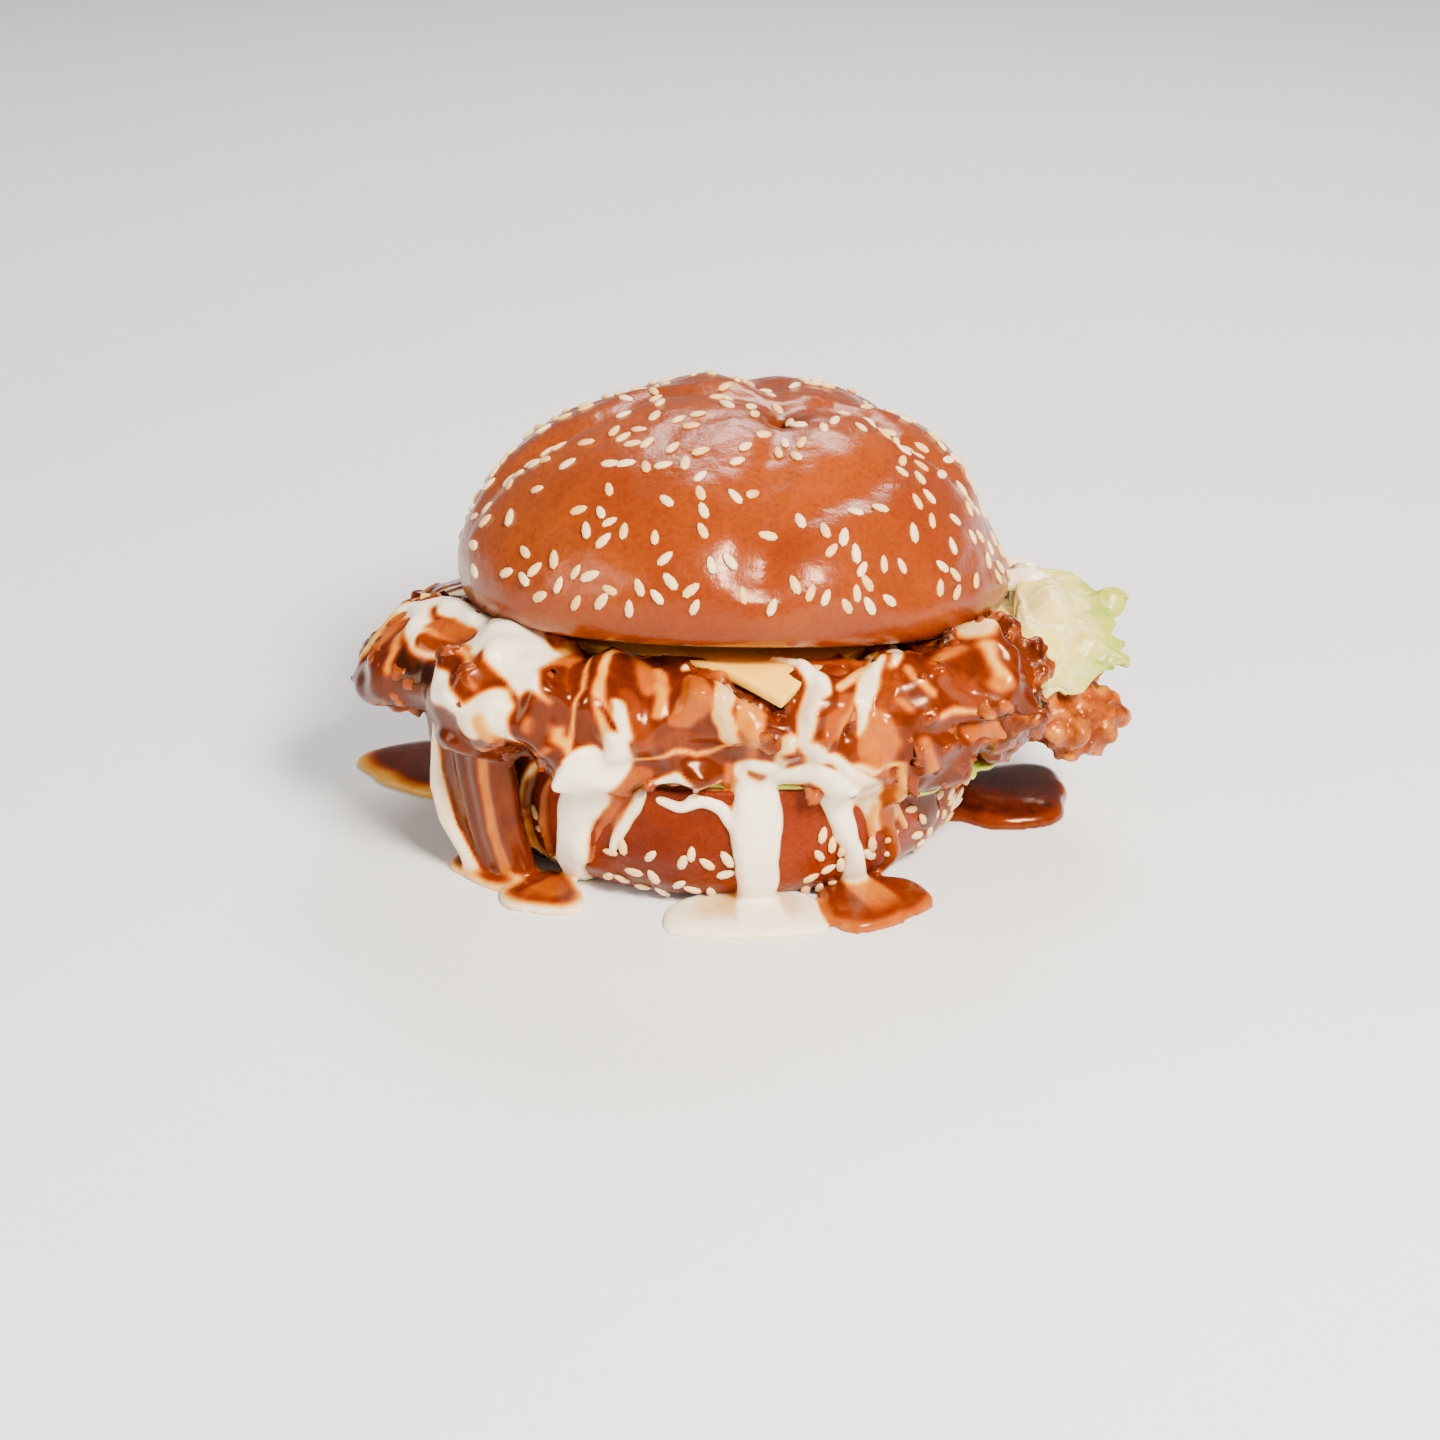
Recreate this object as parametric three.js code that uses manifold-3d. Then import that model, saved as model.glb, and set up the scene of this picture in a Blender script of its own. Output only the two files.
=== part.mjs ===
// A fried chicken burger in a tall sesame bun, with cheese, lettuce and two sauces that run down to the table.
// Millimetres, +Z up. The front looks along -Y, and the burger stands on z = 0.
import * as THREE from "three";
import { mergeVertices } from "three/addons/utils/BufferGeometryUtils.js";
import Module from "manifold-3d";

// Where the bun's axis stands, measured from the middle of the whole burger's footprint
const BUN_AXIS_X = -1.1;
const BUN_AXIS_Y = -1.232;

// Driving sizes of the bun
const CROWN_RADIUS = 54.6;
const CROWN_CUT_RADIUS = 50.5;
const CROWN_LOWER_HEIGHT = 7.2;
const CROWN_DOME_HEIGHT = 35.4;
const CROWN_CUT_Z = 45.5;
const CROWN_TILT_BACK = 7;
const CROWN_TILT_RIGHT = 2;
const CROWN_ARCH = 5.4;
const CROWN_LEAN = 2.2;
const CROWN_SLOPE = { right: 4.2, left: 1, height: 0.46, spread: 0.26 };
const HEEL_RADIUS = 51;
const HEEL_BASE_RADIUS = 42;
const HEEL_TOP_RADIUS = 49.5;
const HEEL_HEIGHT = 26;

// The knot's dimple on the crown, and the creases that run out of it
const DIMPLE = { x: 9, y: -19, depth: 4.2, radius: 6.5 };
const CREASES = [
  { heading: 163, turn: -0.25, depth: 3.4, width: 4.6, reach: 42 },
  { heading: 100, turn: 0.2, depth: 2.2, width: 5, reach: 38 },
  { heading: 38, turn: 0.25, depth: 2.8, width: 4.6, reach: 36 },
  { heading: -22, turn: 0.3, depth: 1.9, width: 5.5, reach: 40 },
  { heading: -97, turn: -0.15, depth: 1.5, width: 6, reach: 40 },
];

// Sesame seeds
const SEED = { length: 3.7, width: 2.2, height: 1.1 };
const CROWN_SEEDS = 70;
const HEEL_SEEDS = 24;

// Layers between the two halves of the bun
const GAP = 0.35;
const CHEESE = { side: 86, thickness: 2.6, x: -3, y: 4, turn: 57 };
const LEAF_THICKNESS = 1.1;

const DEGREE = Math.PI / 180;
const wasm = await Module();
wasm.setup();

const smooth = (a, b, x) => THREE.MathUtils.smoothstep(x, a, b);
const bell = (x) => Math.exp(-x * x);

// The same draw for the same number, from 0 to 1
function chance(number, kind) {
  const value = Math.sin(number * 12.9898 + kind * 78.233) * 43758.5453;
  return value - Math.floor(value);
}

// Soft lumps from -1 to 1 with roughly the wavelength given, in millimetres
function lumps(p, wavelength, shift = 0) {
  const k = (2 * Math.PI) / wavelength;
  const a = Math.sin(k * (p.x + 0.4 * p.y) + 1.3 + shift) * Math.sin(k * (p.z - 0.3 * p.x) + shift);
  const b = Math.sin(k * (0.8 * p.y - 0.5 * p.z) + 2.1 - shift) * Math.cos(k * (p.x + p.z) * 0.7);
  return 0.5 * (a + b);
}

// A closed geometry as a solid to cut and join
function solidOf(geometry) {
  const bare = geometry.clone();
  bare.deleteAttribute("normal");
  bare.deleteAttribute("uv");
  const merged = mergeVertices(bare, 1e-4);
  const triVerts = new Uint32Array(merged.index.array);
  const made = () =>
    new wasm.Manifold(
      new wasm.Mesh({ numProp: 3, vertProperties: merged.attributes.position.array, triVerts }),
    );
  const first = made();
  if (first.volume() > 0) return first;
  for (let i = 0; i < triVerts.length; i += 3) {
    [triVerts[i + 1], triVerts[i + 2]] = [triVerts[i + 2], triVerts[i + 1]];
  }
  return made();
}

// The largest body of a solid, without loose scraps
function largest(solid) {
  const bodies = solid.decompose();
  bodies.sort((a, b) => b.volume() - a.volume());
  return bodies[0];
}

function meshOf(solid, name, colour, roughness) {
  const { numProp, vertProperties, triVerts } = solid.getMesh();
  const places = new Float32Array((vertProperties.length / numProp) * 3);
  for (let i = 0; i < places.length / 3; i++) {
    for (let k = 0; k < 3; k++) places[3 * i + k] = vertProperties[i * numProp + k];
  }
  const geometry = new THREE.BufferGeometry();
  geometry.setAttribute("position", new THREE.BufferAttribute(places, 3));
  geometry.setIndex(new THREE.BufferAttribute(triVerts, 1));
  geometry.computeVertexNormals();
  const material = new THREE.MeshStandardMaterial({ color: colour, roughness, metalness: 0 });
  const mesh = new THREE.Mesh(geometry, material);
  mesh.name = name;
  return mesh;
}

// Moves every vertex of a geometry as the function says
function warped(geometry, move) {
  const place = geometry.attributes.position;
  const p = new THREE.Vector3();
  for (let i = 0; i < place.count; i++) {
    p.fromBufferAttribute(place, i);
    move(p);
    place.setXYZ(i, p.x, p.y, p.z);
  }
  return geometry;
}

// A round body from its profile of [radius, height] points, standing on +Z
function revolved(profile, segments) {
  const points = profile.map(([r, h]) => new THREE.Vector2(r, h));
  return new THREE.LatheGeometry(points, segments).rotateX(Math.PI / 2);
}

// A quarter of a rounded side, as profile points after the start
function quarter(steps, point) {
  return Array.from({ length: steps }, (_, i) => point(((i + 1) / steps) * (Math.PI / 2)));
}

// A sheet between two like faces: each point of the surface, moved out to both sides
function sheet(surface, across, along, up, down) {
  const places = [];
  const faces = [];
  const columns = across + 1;
  const rows = along + 1;
  for (const offset of [up, down]) {
    for (let j = 0; j < rows; j++) {
      for (let i = 0; i < columns; i++) {
        const u = -1 + (2 * i) / across;
        const v = -1 + (2 * j) / along;
        const p = surface(u, v);
        offset(p, u, v);
        places.push(p.x, p.y, p.z);
      }
    }
  }
  const at = (i, j, side) => side * columns * rows + j * columns + i;
  const quad = (a, b, c, d) => faces.push(a, b, c, a, c, d);
  for (let j = 0; j < along; j++) {
    for (let i = 0; i < across; i++) {
      quad(at(i, j, 0), at(i + 1, j, 0), at(i + 1, j + 1, 0), at(i, j + 1, 0));
      faces.push(at(i, j, 1), at(i + 1, j + 1, 1), at(i + 1, j, 1));
      faces.push(at(i, j, 1), at(i, j + 1, 1), at(i + 1, j + 1, 1));
    }
  }
  for (let i = 0; i < across; i++) {
    quad(at(i, 0, 1), at(i + 1, 0, 1), at(i + 1, 0, 0), at(i, 0, 0));
    quad(at(i + 1, along, 1), at(i, along, 1), at(i, along, 0), at(i + 1, along, 0));
  }
  for (let j = 0; j < along; j++) {
    quad(at(0, j + 1, 1), at(0, j, 1), at(0, j, 0), at(0, j + 1, 0));
    quad(at(across, j, 1), at(across, j + 1, 1), at(across, j + 1, 0), at(across, j, 0));
  }
  const geometry = new THREE.BufferGeometry();
  geometry.setAttribute("position", new THREE.Float32BufferAttribute(places, 3));
  geometry.setIndex(faces);
  return solidOf(geometry);
}

// Offsets for sheet(): along the surface's own normal, or straight up and down
function alongNormal(surface, distance) {
  return (p, u, v) => {
    const step = 0.02;
    const a = surface(u + step, v).sub(surface(u - step, v));
    const b = surface(u, v + step).sub(surface(u, v - step));
    p.addScaledVector(a.cross(b).normalize(), distance);
  };
}
const lifted = (distance) => (p) => {
  p.z += distance;
};

// The crown, in its own frame: its cut face lies on z = 0

function crownWarp(p) {
  const angle = Math.atan2(p.y, p.x);
  const reach = Math.hypot(p.x, p.y);
  const height = THREE.MathUtils.clamp(p.z / (CROWN_LOWER_HEIGHT + CROWN_DOME_HEIGHT), 0, 1);
  const round = 1 + 0.012 * Math.sin(2 * angle + 0.6) + 0.01 * Math.sin(3 * angle + 2);
  const onDome = smooth(CROWN_LOWER_HEIGHT * 0.5, CROWN_LOWER_HEIGHT * 1.8, p.z);
  let sink = 0;
  const dx = p.x - DIMPLE.x;
  const dy = p.y - DIMPLE.y;
  const away = Math.hypot(dx, dy);
  sink += DIMPLE.depth * bell(away / DIMPLE.radius);
  for (const c of CREASES) {
    const bearing = Math.atan2(dy, dx) - c.heading * DEGREE - (c.turn * away) / 30;
    if (Math.cos(bearing) <= 0) continue;
    const beside = away * Math.sin(bearing);
    const start = smooth(0, 8, away);
    sink += c.depth * bell(beside / c.width) * start * (1 - smooth(c.reach * 0.4, c.reach * 1.3, away));
  }
  const out = new THREE.Vector3(p.x, p.y, p.z + 12).normalize();
  const swell = 0.7 * lumps(p, 42, 0.7);
  const front = Math.max(0, Math.cos(angle + Math.PI / 2)) ** 2 * (reach / CROWN_RADIUS) ** 3;
  const arch = CROWN_ARCH * front * (1 - height) ** 2;
  p.x *= round;
  p.y *= round;
  p.x += CROWN_LEAN * height ** 1.5;
  const pinch = onDome * bell((height - CROWN_SLOPE.height) / CROWN_SLOPE.spread) * Math.cos(angle) ** 2;
  p.x -= pinch * (Math.cos(angle) > 0 ? CROWN_SLOPE.right : -CROWN_SLOPE.left);
  p.addScaledVector(out, onDome * (swell - sink));
  p.z += arch;
  return p;
}

const domePoint = (t) => [
  CROWN_RADIUS * Math.cos(t) ** 0.98,
  CROWN_LOWER_HEIGHT + CROWN_DOME_HEIGHT * Math.sin(t) ** 0.98,
];

function crownBody(segments, rows) {
  const bulge = CROWN_RADIUS - CROWN_CUT_RADIUS;
  const profile = [
    [0, 0],
    [CROWN_CUT_RADIUS * 0.55, 0],
    [CROWN_CUT_RADIUS, 0],
    ...quarter(3, (t) => [
      CROWN_CUT_RADIUS + bulge * Math.sin(t),
      CROWN_LOWER_HEIGHT * (1 - Math.cos(t)),
    ]),
    ...quarter(rows, domePoint),
  ];
  profile[profile.length - 1][0] = 0;
  return solidOf(warped(revolved(profile, segments), crownWarp));
}

// A seed lying half sunk on a surface that is given by its warp and a point function
function seedOn(pointAt, angle, rise, spin, size) {
  const step = 0.01;
  const p = pointAt(angle, rise);
  const a = pointAt(angle + step, rise).sub(pointAt(angle - step, rise)).normalize();
  const b = pointAt(angle, rise + step).sub(pointAt(angle, rise - step)).normalize();
  const normal = a.clone().cross(b).normalize();
  if (normal.dot(p) < 0) normal.negate();
  const long = a.multiplyScalar(Math.cos(spin)).addScaledVector(b, Math.sin(spin)).normalize();
  const wide = normal.clone().cross(long).normalize();
  const frame = new THREE.Matrix4().makeBasis(
    wide.multiplyScalar((size * SEED.width) / 2),
    long.clone().multiplyScalar((size * SEED.length) / 2),
    normal.multiplyScalar((size * SEED.height) / 2),
  );
  frame.setPosition(p);
  const grain = new THREE.SphereGeometry(1, 5, 3);
  warped(grain, (q) => {
    const taper = 1 - 0.28 * q.y;
    q.x *= taper;
    q.z *= taper;
  });
  return solidOf(grain.applyMatrix4(frame));
}

function crownPoint(angle, rise) {
  const [r, h] = domePoint(THREE.MathUtils.clamp(rise, 0, Math.PI / 2 - 1e-4));
  return crownWarp(new THREE.Vector3(r * Math.cos(angle), r * Math.sin(angle), h));
}

// Seeds lie evenly over the dome by the golden angle, each shaken a little
function crownSeeds(count) {
  const turn = Math.PI * (3 - Math.sqrt(5));
  return Array.from({ length: count }, (_, i) => {
    const share = (i + 0.5 + 0.9 * (chance(i, 1) - 0.5)) / count;
    const rise = Math.asin(THREE.MathUtils.clamp(1 - share * 0.97, 0, 1));
    const angle = i * turn + 0.45 * (chance(i, 2) - 0.5);
    return seedOn(crownPoint, angle, rise, Math.PI * chance(i, 3), 0.9 + 0.2 * chance(i, 4));
  });
}

// The heel, or lower half of the bun, standing on z = 0

const HEEL_PROFILE = [
  [0, 0],
  [HEEL_BASE_RADIUS, 0],
  [HEEL_BASE_RADIUS + 4, 1.8],
  [HEEL_BASE_RADIUS + 7.3, 6],
  [HEEL_RADIUS, 12.5],
  [HEEL_RADIUS - 0.5, 19],
  [HEEL_TOP_RADIUS, HEEL_HEIGHT],
  [0, HEEL_HEIGHT],
];

function heelRadius(z) {
  const side = HEEL_PROFILE.slice(1, -1);
  for (let i = 1; i < side.length; i++) {
    const [r0, z0] = side[i - 1];
    const [r1, z1] = side[i];
    if (z <= z1) return r0 + ((r1 - r0) * Math.max(0, z - z0)) / (z1 - z0);
  }
  return HEEL_TOP_RADIUS;
}

const heelWarp = (p) => {
  const angle = Math.atan2(p.y, p.x);
  const round = 1 + 0.01 * Math.sin(2 * angle - 0.5) + 0.008 * Math.sin(5 * angle);
  p.x *= round;
  p.y *= round;
  return p;
};

const heelPoint = (angle, z) =>
  heelWarp(new THREE.Vector3(heelRadius(z) * Math.cos(angle), heelRadius(z) * Math.sin(angle), z));

// Runs of sauce down the heel: bearing and widths in degrees and millimetres, from top to bottom
const RUNS = [
  { bearing: -85, top: 25.4, bottom: 0.4, half: 6, thick: 2.6 },
  { bearing: -127, top: 25.4, bottom: 2.5, half: 7.5, thick: 2.8 },
  { bearing: -61, top: 25.4, bottom: 3, half: 4.4, thick: 2.4 },
  { bearing: -49, top: 25.4, bottom: 0.4, half: 6, thick: 2.6 },
  { bearing: -149, top: 25.2, bottom: 6, half: 8, thick: 1.8 },
  { bearing: -169, top: 25.4, bottom: 2, half: 3.6, thick: 2.2 },
  { bearing: -105, top: 25.4, bottom: 19, half: 9, thick: 2.2 },
  { bearing: -22, top: 25.2, bottom: 9, half: 8, thick: 2 },
  { bearing: 14, top: 25.4, bottom: 0.6, half: 5, thick: 2.4 },
  { bearing: 47, top: 25.4, bottom: 5, half: 5.5, thick: 2.4 },
  { bearing: 79, top: 25.4, bottom: 11, half: 7, thick: 2.2 },
  { bearing: 112, top: 25.4, bottom: 0.6, half: 5.5, thick: 2.6 },
  { bearing: 148, top: 25.4, bottom: 8, half: 5, thick: 2.2 },
];

function sauceRun({ bearing, top, bottom, half, thick }) {
  const drop = new THREE.SphereGeometry(1, 7, 5).rotateX(Math.PI / 2);
  return solidOf(
    warped(drop, (p) => {
      const z = bottom + ((top - bottom) * (p.z + 1)) / 2;
      const beside = bearing * DEGREE + (p.x * half) / HEEL_RADIUS;
      const out = heelPoint(beside, z);
      const side = Math.hypot(out.x, out.y);
      const fall = Math.max(side, HEEL_RADIUS - 2.2 - 0.25 * Math.max(0, 6 - z));
      const stretch = (fall + p.y * thick) / side;
      p.set(out.x * stretch, out.y * stretch, z);
    }),
  );
}

// Pools where the runs reach the table
const POOLS = [
  { x: 3.5, y: -49.5, long: 16, wide: 11.5, deep: 2.6, turn: 6 },
  { x: 27, y: -46, long: 11, wide: 10.5, deep: 3.4, turn: 15 },
  { x: -36, y: -43, long: 8.5, wide: 8, deep: 2.4, turn: -40 },
  { x: 56, y: -3, long: 16, wide: 12.5, deep: 4.5, turn: 20 },
  { x: -58, y: 12, long: 12.5, wide: 20, deep: 3.4, turn: 95 },
  { x: -18, y: 50, long: 12, wide: 8, deep: 2.6, turn: -15 },
];

function pool({ x, y, long, wide, deep, turn }) {
  const drop = new THREE.SphereGeometry(1, 12, 4).rotateX(Math.PI / 2);
  warped(drop, (p) => {
    const edge = 1 + 0.12 * Math.sin(3 * Math.atan2(p.y, p.x) + x);
    p.set(p.x * long * edge, p.y * wide * edge, Math.max(0, p.z) ** 0.6 * deep);
  });
  return solidOf(drop.rotateZ(turn * DEGREE).translate(x, y, 0));
}

// Seeds stay on the lower half of the heel's side, and off the sauce
function heelSeeds(count) {
  const seeds = [];
  for (let i = 0; seeds.length < count; i++) {
    const angle = 2 * Math.PI * chance(i, 5);
    const z = 3.5 + 15 * chance(i, 6) ** 1.6;
    const covered = RUNS.some(({ bearing, bottom, half }) => {
      const beside = Math.atan2(Math.sin(angle - bearing * DEGREE), Math.cos(angle - bearing * DEGREE));
      return Math.abs(beside) * HEEL_RADIUS < half + 1.5 && z > bottom - 2;
    });
    if (covered) continue;
    seeds.push(seedOn(heelPoint, angle, z, Math.PI * chance(i, 7), 0.9 + 0.2 * chance(i, 8)));
  }
  return seeds;
}

const union = (solids) => wasm.Manifold.union(solids);
const bareHeel = solidOf(warped(revolved(HEEL_PROFILE, 34), heelWarp));
const dressedHeel = union([
  bareHeel,
  ...RUNS.map(sauceRun),
  ...POOLS.map(pool),
  ...heelSeeds(HEEL_SEEDS),
]);

// Where the crown stands on the filling
const crownPlace = new THREE.Matrix4()
  .makeTranslation(0, 0, CROWN_CUT_Z)
  .multiply(new THREE.Matrix4().makeRotationY(CROWN_TILT_RIGHT * DEGREE))
  .multiply(new THREE.Matrix4().makeRotationX(-CROWN_TILT_BACK * DEGREE));
const crownInFrame = union([crownBody(36, 8), ...crownSeeds(CROWN_SEEDS)]);
const crown = largest(crownInFrame.transform(crownPlace.elements));
const bareCrown = crownBody(38, 4).scale([1.015, 1.015, 1]).transform(crownPlace.elements);

// The height of the crown's cut face over a point of the filling
function underside(x, y) {
  const reach = Math.hypot(x, y);
  const front = Math.max(0, Math.cos(Math.atan2(y, x) + Math.PI / 2)) ** 2;
  const arch = CROWN_ARCH * front * Math.min(1, reach / CROWN_RADIUS) ** 3;
  return (
    CROWN_CUT_Z -
    y * Math.tan(CROWN_TILT_BACK * DEGREE) -
    x * Math.tan(CROWN_TILT_RIGHT * DEGREE) +
    arch
  );
}

// Cheese: a square slice, turned corner to the front. Its corners bend down past the bun,
// all but the left one, which lies up on the chicken
function cheeseSurface(u, v) {
  const turn = CHEESE.turn * DEGREE;
  const a = (u * CHEESE.side) / 2;
  const b = (v * CHEESE.side) / 2;
  let x = CHEESE.x + a * Math.cos(turn) - b * Math.sin(turn);
  let y = CHEESE.y + a * Math.sin(turn) + b * Math.cos(turn);
  const reach = Math.hypot(x, y);
  const angle = Math.atan2(y, x);
  const edge = 46;
  const frontness = Math.max(0, Math.cos(angle + Math.PI / 2));
  const left = bell(Math.atan2(Math.sin(angle + 168 * DEGREE), Math.cos(angle + 168 * DEGREE)) / 0.4);
  const steepest = (14 + 10 * frontness + 14 * Math.max(0, Math.sin(angle))) * (1 - 0.9 * left) * DEGREE;
  const bend = 9;
  let drop = 0;
  let flat = reach;
  if (reach > edge) {
    const turned = Math.min((reach - edge) / bend, steepest);
    const rest = reach - edge - turned * bend;
    flat = edge + bend * Math.sin(turned) + rest * Math.cos(turned);
    drop = bend * (1 - Math.cos(turned)) + rest * Math.sin(turned);
  }
  x *= flat / Math.max(reach, 1e-6);
  y *= flat / Math.max(reach, 1e-6);
  const inside = Math.min(1, edge / Math.max(reach, 1e-6));
  const lift = 0.42 * left * Math.max(0, reach - 50);
  return new THREE.Vector3(x, y, underside(x * inside, y * inside) - 4.4 - drop + lift);
}

// The upper leaf: it leaves the bun on the right as a crumpled vault, with a ruffled edge
const VAULT = { start: 28, end: 77, top: 47, half: 23, y: 3 };
function vaultSurface(u, v) {
  const out = (u + 1) / 2;
  const end = VAULT.end - 8 * v * v - 2 * Math.sin(3.4 * v - 0.4) + 1.3 * Math.sin(9 * v);
  const x = VAULT.start + (end - VAULT.start) * out;
  const leaves = smooth(46, 60, x);
  const arc = v * (0.25 + 1.2 * leaves);
  const margin = smooth(0.7, 1, out);
  const ruffle = margin * (1.6 * Math.sin(v * 8.5 + 0.6) + 0.9 * Math.sin(v * 15));
  const fold = Math.sin(v * 5.6 + x * 0.16) * Math.cos(x * 0.27 + v * 2.4);
  const crumple = leaves * (2.1 * fold + 0.8 * Math.sin(x * 0.6 - v * 7));
  const spread = VAULT.half * (1 - 0.1 * leaves * (1 - Math.cos(arc)) + 0.07 * Math.sin(x * 0.33));
  const y = VAULT.y - 5 * leaves + (leaves * Math.sin(arc) + (1 - leaves) * v) * spread;
  const sag = leaves * 17 * (1 - Math.cos(arc)) + 0.22 * Math.max(0, x - 64) ** 1.25;
  const under = underside(x, y) - 1.6;
  const free = VAULT.top + 1.5 * leaves - sag + crumple;
  const covered = x < CROWN_RADIUS + 3;
  const z = THREE.MathUtils.lerp(under, covered ? Math.min(free, under) : free, leaves);
  return new THREE.Vector3(x + ruffle * 0.7, y, z + ruffle * 0.6);
}

// The lower leaf: it lies on the heel, and droops over it at the front right
function lowerLeafSurface(u, v, grown = 0) {
  const x = u * Math.sqrt(1 - (v * v) / 2);
  const y = v * Math.sqrt(1 - (u * u) / 2);
  const share = Math.hypot(x, y);
  const angle = Math.atan2(y, x);
  const tongue = bell((angle + 30 * DEGREE) / (30 * DEGREE));
  const rear = bell((angle - 125 * DEGREE) / (28 * DEGREE));
  const ledge = bell((angle + 95 * DEGREE) / (35 * DEGREE));
  const radius = 50.2 - 1.6 * ledge + 11.5 * tongue + 7 * rear + 0.5 * Math.sin(5 * angle + 1) + grown;
  const reach = share * radius;
  const outside = Math.max(0, reach - 51);
  const wave = Math.min(1, outside / 5) * 1.2 * Math.sin(9 * angle + 0.8);
  const z = HEEL_HEIGHT + GAP + LEAF_THICKNESS / 2 - 0.4 * outside + wave;
  return new THREE.Vector3(reach * Math.cos(angle), reach * Math.sin(angle), z);
}

// A surface stretched a little past its own outline
const widened = (surface) => (u, v) => surface(u * 1.02, v * 1.02);

// Cells across and along each sheet
const LEAF_GRID = [13, 13];
const VAULT_GRID = [14, 13];
const CHEESE_GRID = [7, 7];

const HALF_LEAF = LEAF_THICKNESS / 2;
const lowerLeaf = sheet(lowerLeafSurface, ...LEAF_GRID, lifted(HALF_LEAF), lifted(-HALF_LEAF));
const vault = sheet(
  vaultSurface,
  ...VAULT_GRID,
  alongNormal(vaultSurface, HALF_LEAF),
  alongNormal(vaultSurface, -HALF_LEAF),
);
const cheese = sheet(
  cheeseSurface,
  ...CHEESE_GRID,
  alongNormal(cheeseSurface, CHEESE.thickness / 2),
  alongNormal(cheeseSurface, -CHEESE.thickness / 2),
);

// The fried chicken: its rim by bearing in degrees, as [bearing, reach, middle height, half height]
const RIM = [
  [-174, 73, 34, 10],
  [-141, 62, 40, 11],
  [-118, 57, 40, 12],
  [-95, 54, 40, 12],
  [-70, 54, 38, 13],
  [-45, 59, 35, 15],
  [-22, 66, 30, 10.5],
  [-6, 72, 26.5, 7],
  [18, 66, 31, 8],
  [45, 57, 34, 10],
  [90, 53, 35, 10],
  [135, 57, 36, 10],
  [165, 66, 33, 10],
];

function rimAt(angle) {
  const bearing = angle / DEGREE;
  const next = RIM.findIndex(([b]) => b > bearing);
  const [b1, ...after] = RIM[next < 0 ? 0 : next];
  const [b0, ...before] = RIM[(next <= 0 ? RIM.length : next) - 1];
  const span = (b1 - b0 + 360) % 360;
  const share = smooth(0, 1, ((bearing - b0 + 360) % 360) / span);
  return before.map((value, i) => THREE.MathUtils.lerp(value, after[i], share));
}

// Crisp batter: each point pushed out or in by lumps of two sizes
function battered(p, from, amount) {
  const rough = 2 * lumps(p, 19) + 2 * lumps(p, 11, 2);
  p.addScaledVector(p.clone().sub(from).normalize(), rough * amount);
}

function filletBody(around, rows) {
  const middle = new THREE.Vector3(0, -4, 36);
  const ball = new THREE.SphereGeometry(1, around, rows).rotateX(Math.PI / 2);
  return solidOf(
    warped(ball, (p) => {
      const angle = Math.atan2(p.y, p.x);
      const flat = Math.hypot(p.x, p.y) ** 0.6;
      const [reach, height, half] = rimAt(angle);
      const nuggets = 1 + 0.035 * Math.sin(9 * angle + 0.8) + 0.02 * Math.sin(16 * angle);
      const centre = THREE.MathUtils.lerp(middle.z, height, flat ** 3);
      const z = centre + p.z * THREE.MathUtils.lerp(12, half, flat);
      p.set(flat * reach * nuggets * Math.cos(angle), flat * reach * nuggets * Math.sin(angle), z);
      battered(p, middle, smooth(0.5, 1, flat));
    }),
  );
}

// Crags on the fillet, and the sauce that lies thick on it and is one with it:
// middle, half sizes, and a roll about the burger's depth axis
const LUMPS = [
  { at: [-57, -15, 40.5], size: [18, 17, 9.5], roll: -24 },
  { at: [-42, -36, 41.5], size: [16, 15, 11.5], roll: -16 },
  { at: [-35.5, -46.5, 42], size: [7, 6.5, 7.5], roll: 0 },
  { at: [-19, -41, 41], size: [15, 12, 9], roll: 0 },
  { at: [-2, -42, 42], size: [14, 11.5, 9], roll: 8 },
  { at: [16, -42, 39], size: [15, 11, 11.5], roll: 0 },
  { at: [32, -40, 36], size: [12, 11, 14], roll: 0 },
  { at: [-14, -44, 29.8], size: [23, 8.5, 4], roll: 0 },
  { at: [19, -44, 29.8], size: [18, 8, 4], roll: 0 },
  { at: [45, -29, 40.5], size: [15, 15, 11.5], roll: 16 },
  { at: [68, -13, 25], size: [9, 8, 5], roll: 18 },
  { at: [-30, -47, 34], size: [6, 6, 8.5], roll: -10 },
  { at: [22, 43, 36], size: [16, 12, 9.5], roll: 0 },
  { at: [-24, 44, 36], size: [14, 11, 9], roll: 0 },
];

function lump({ at, size, roll }) {
  const [around, rows] = Math.max(...size) > 14 ? [12, 8] : [9, 6];
  const ball = new THREE.SphereGeometry(1, around, rows).rotateX(Math.PI / 2);
  const turn = new THREE.Matrix4().makeRotationY(roll * DEGREE);
  ball.scale(...size).applyMatrix4(turn).translate(...at);
  const middle = new THREE.Vector3(...at);
  return solidOf(warped(ball, (p) => battered(p, middle, 0.8)));
}

// Strands of sauce that hang from the left wing to the table: [x, y, z, radius] from the top down
const HANGING = [
  [[-52.5, -32, 38, 3.2], [-54.5, -32, 27, 1.9], [-55.8, -32, 19, 1.6], [-54, -33, 12, 1.6], [-50.5, -34, 5, 1.9], [-49, -34, 0.4, 2.8]],
  [[-57, -26, 38, 3.2], [-57.5, -26, 25, 1.9], [-55.5, -27, 16, 1.8], [-52, -29, 8, 2], [-49.8, -30, 0.4, 2.8]],
  [[-50, -37, 38, 3.4], [-50.5, -37, 25, 2.4], [-49.5, -37, 15, 2.2], [-47, -37, 5, 2.2], [-46, -37, 0.4, 2.8]],
];

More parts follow.
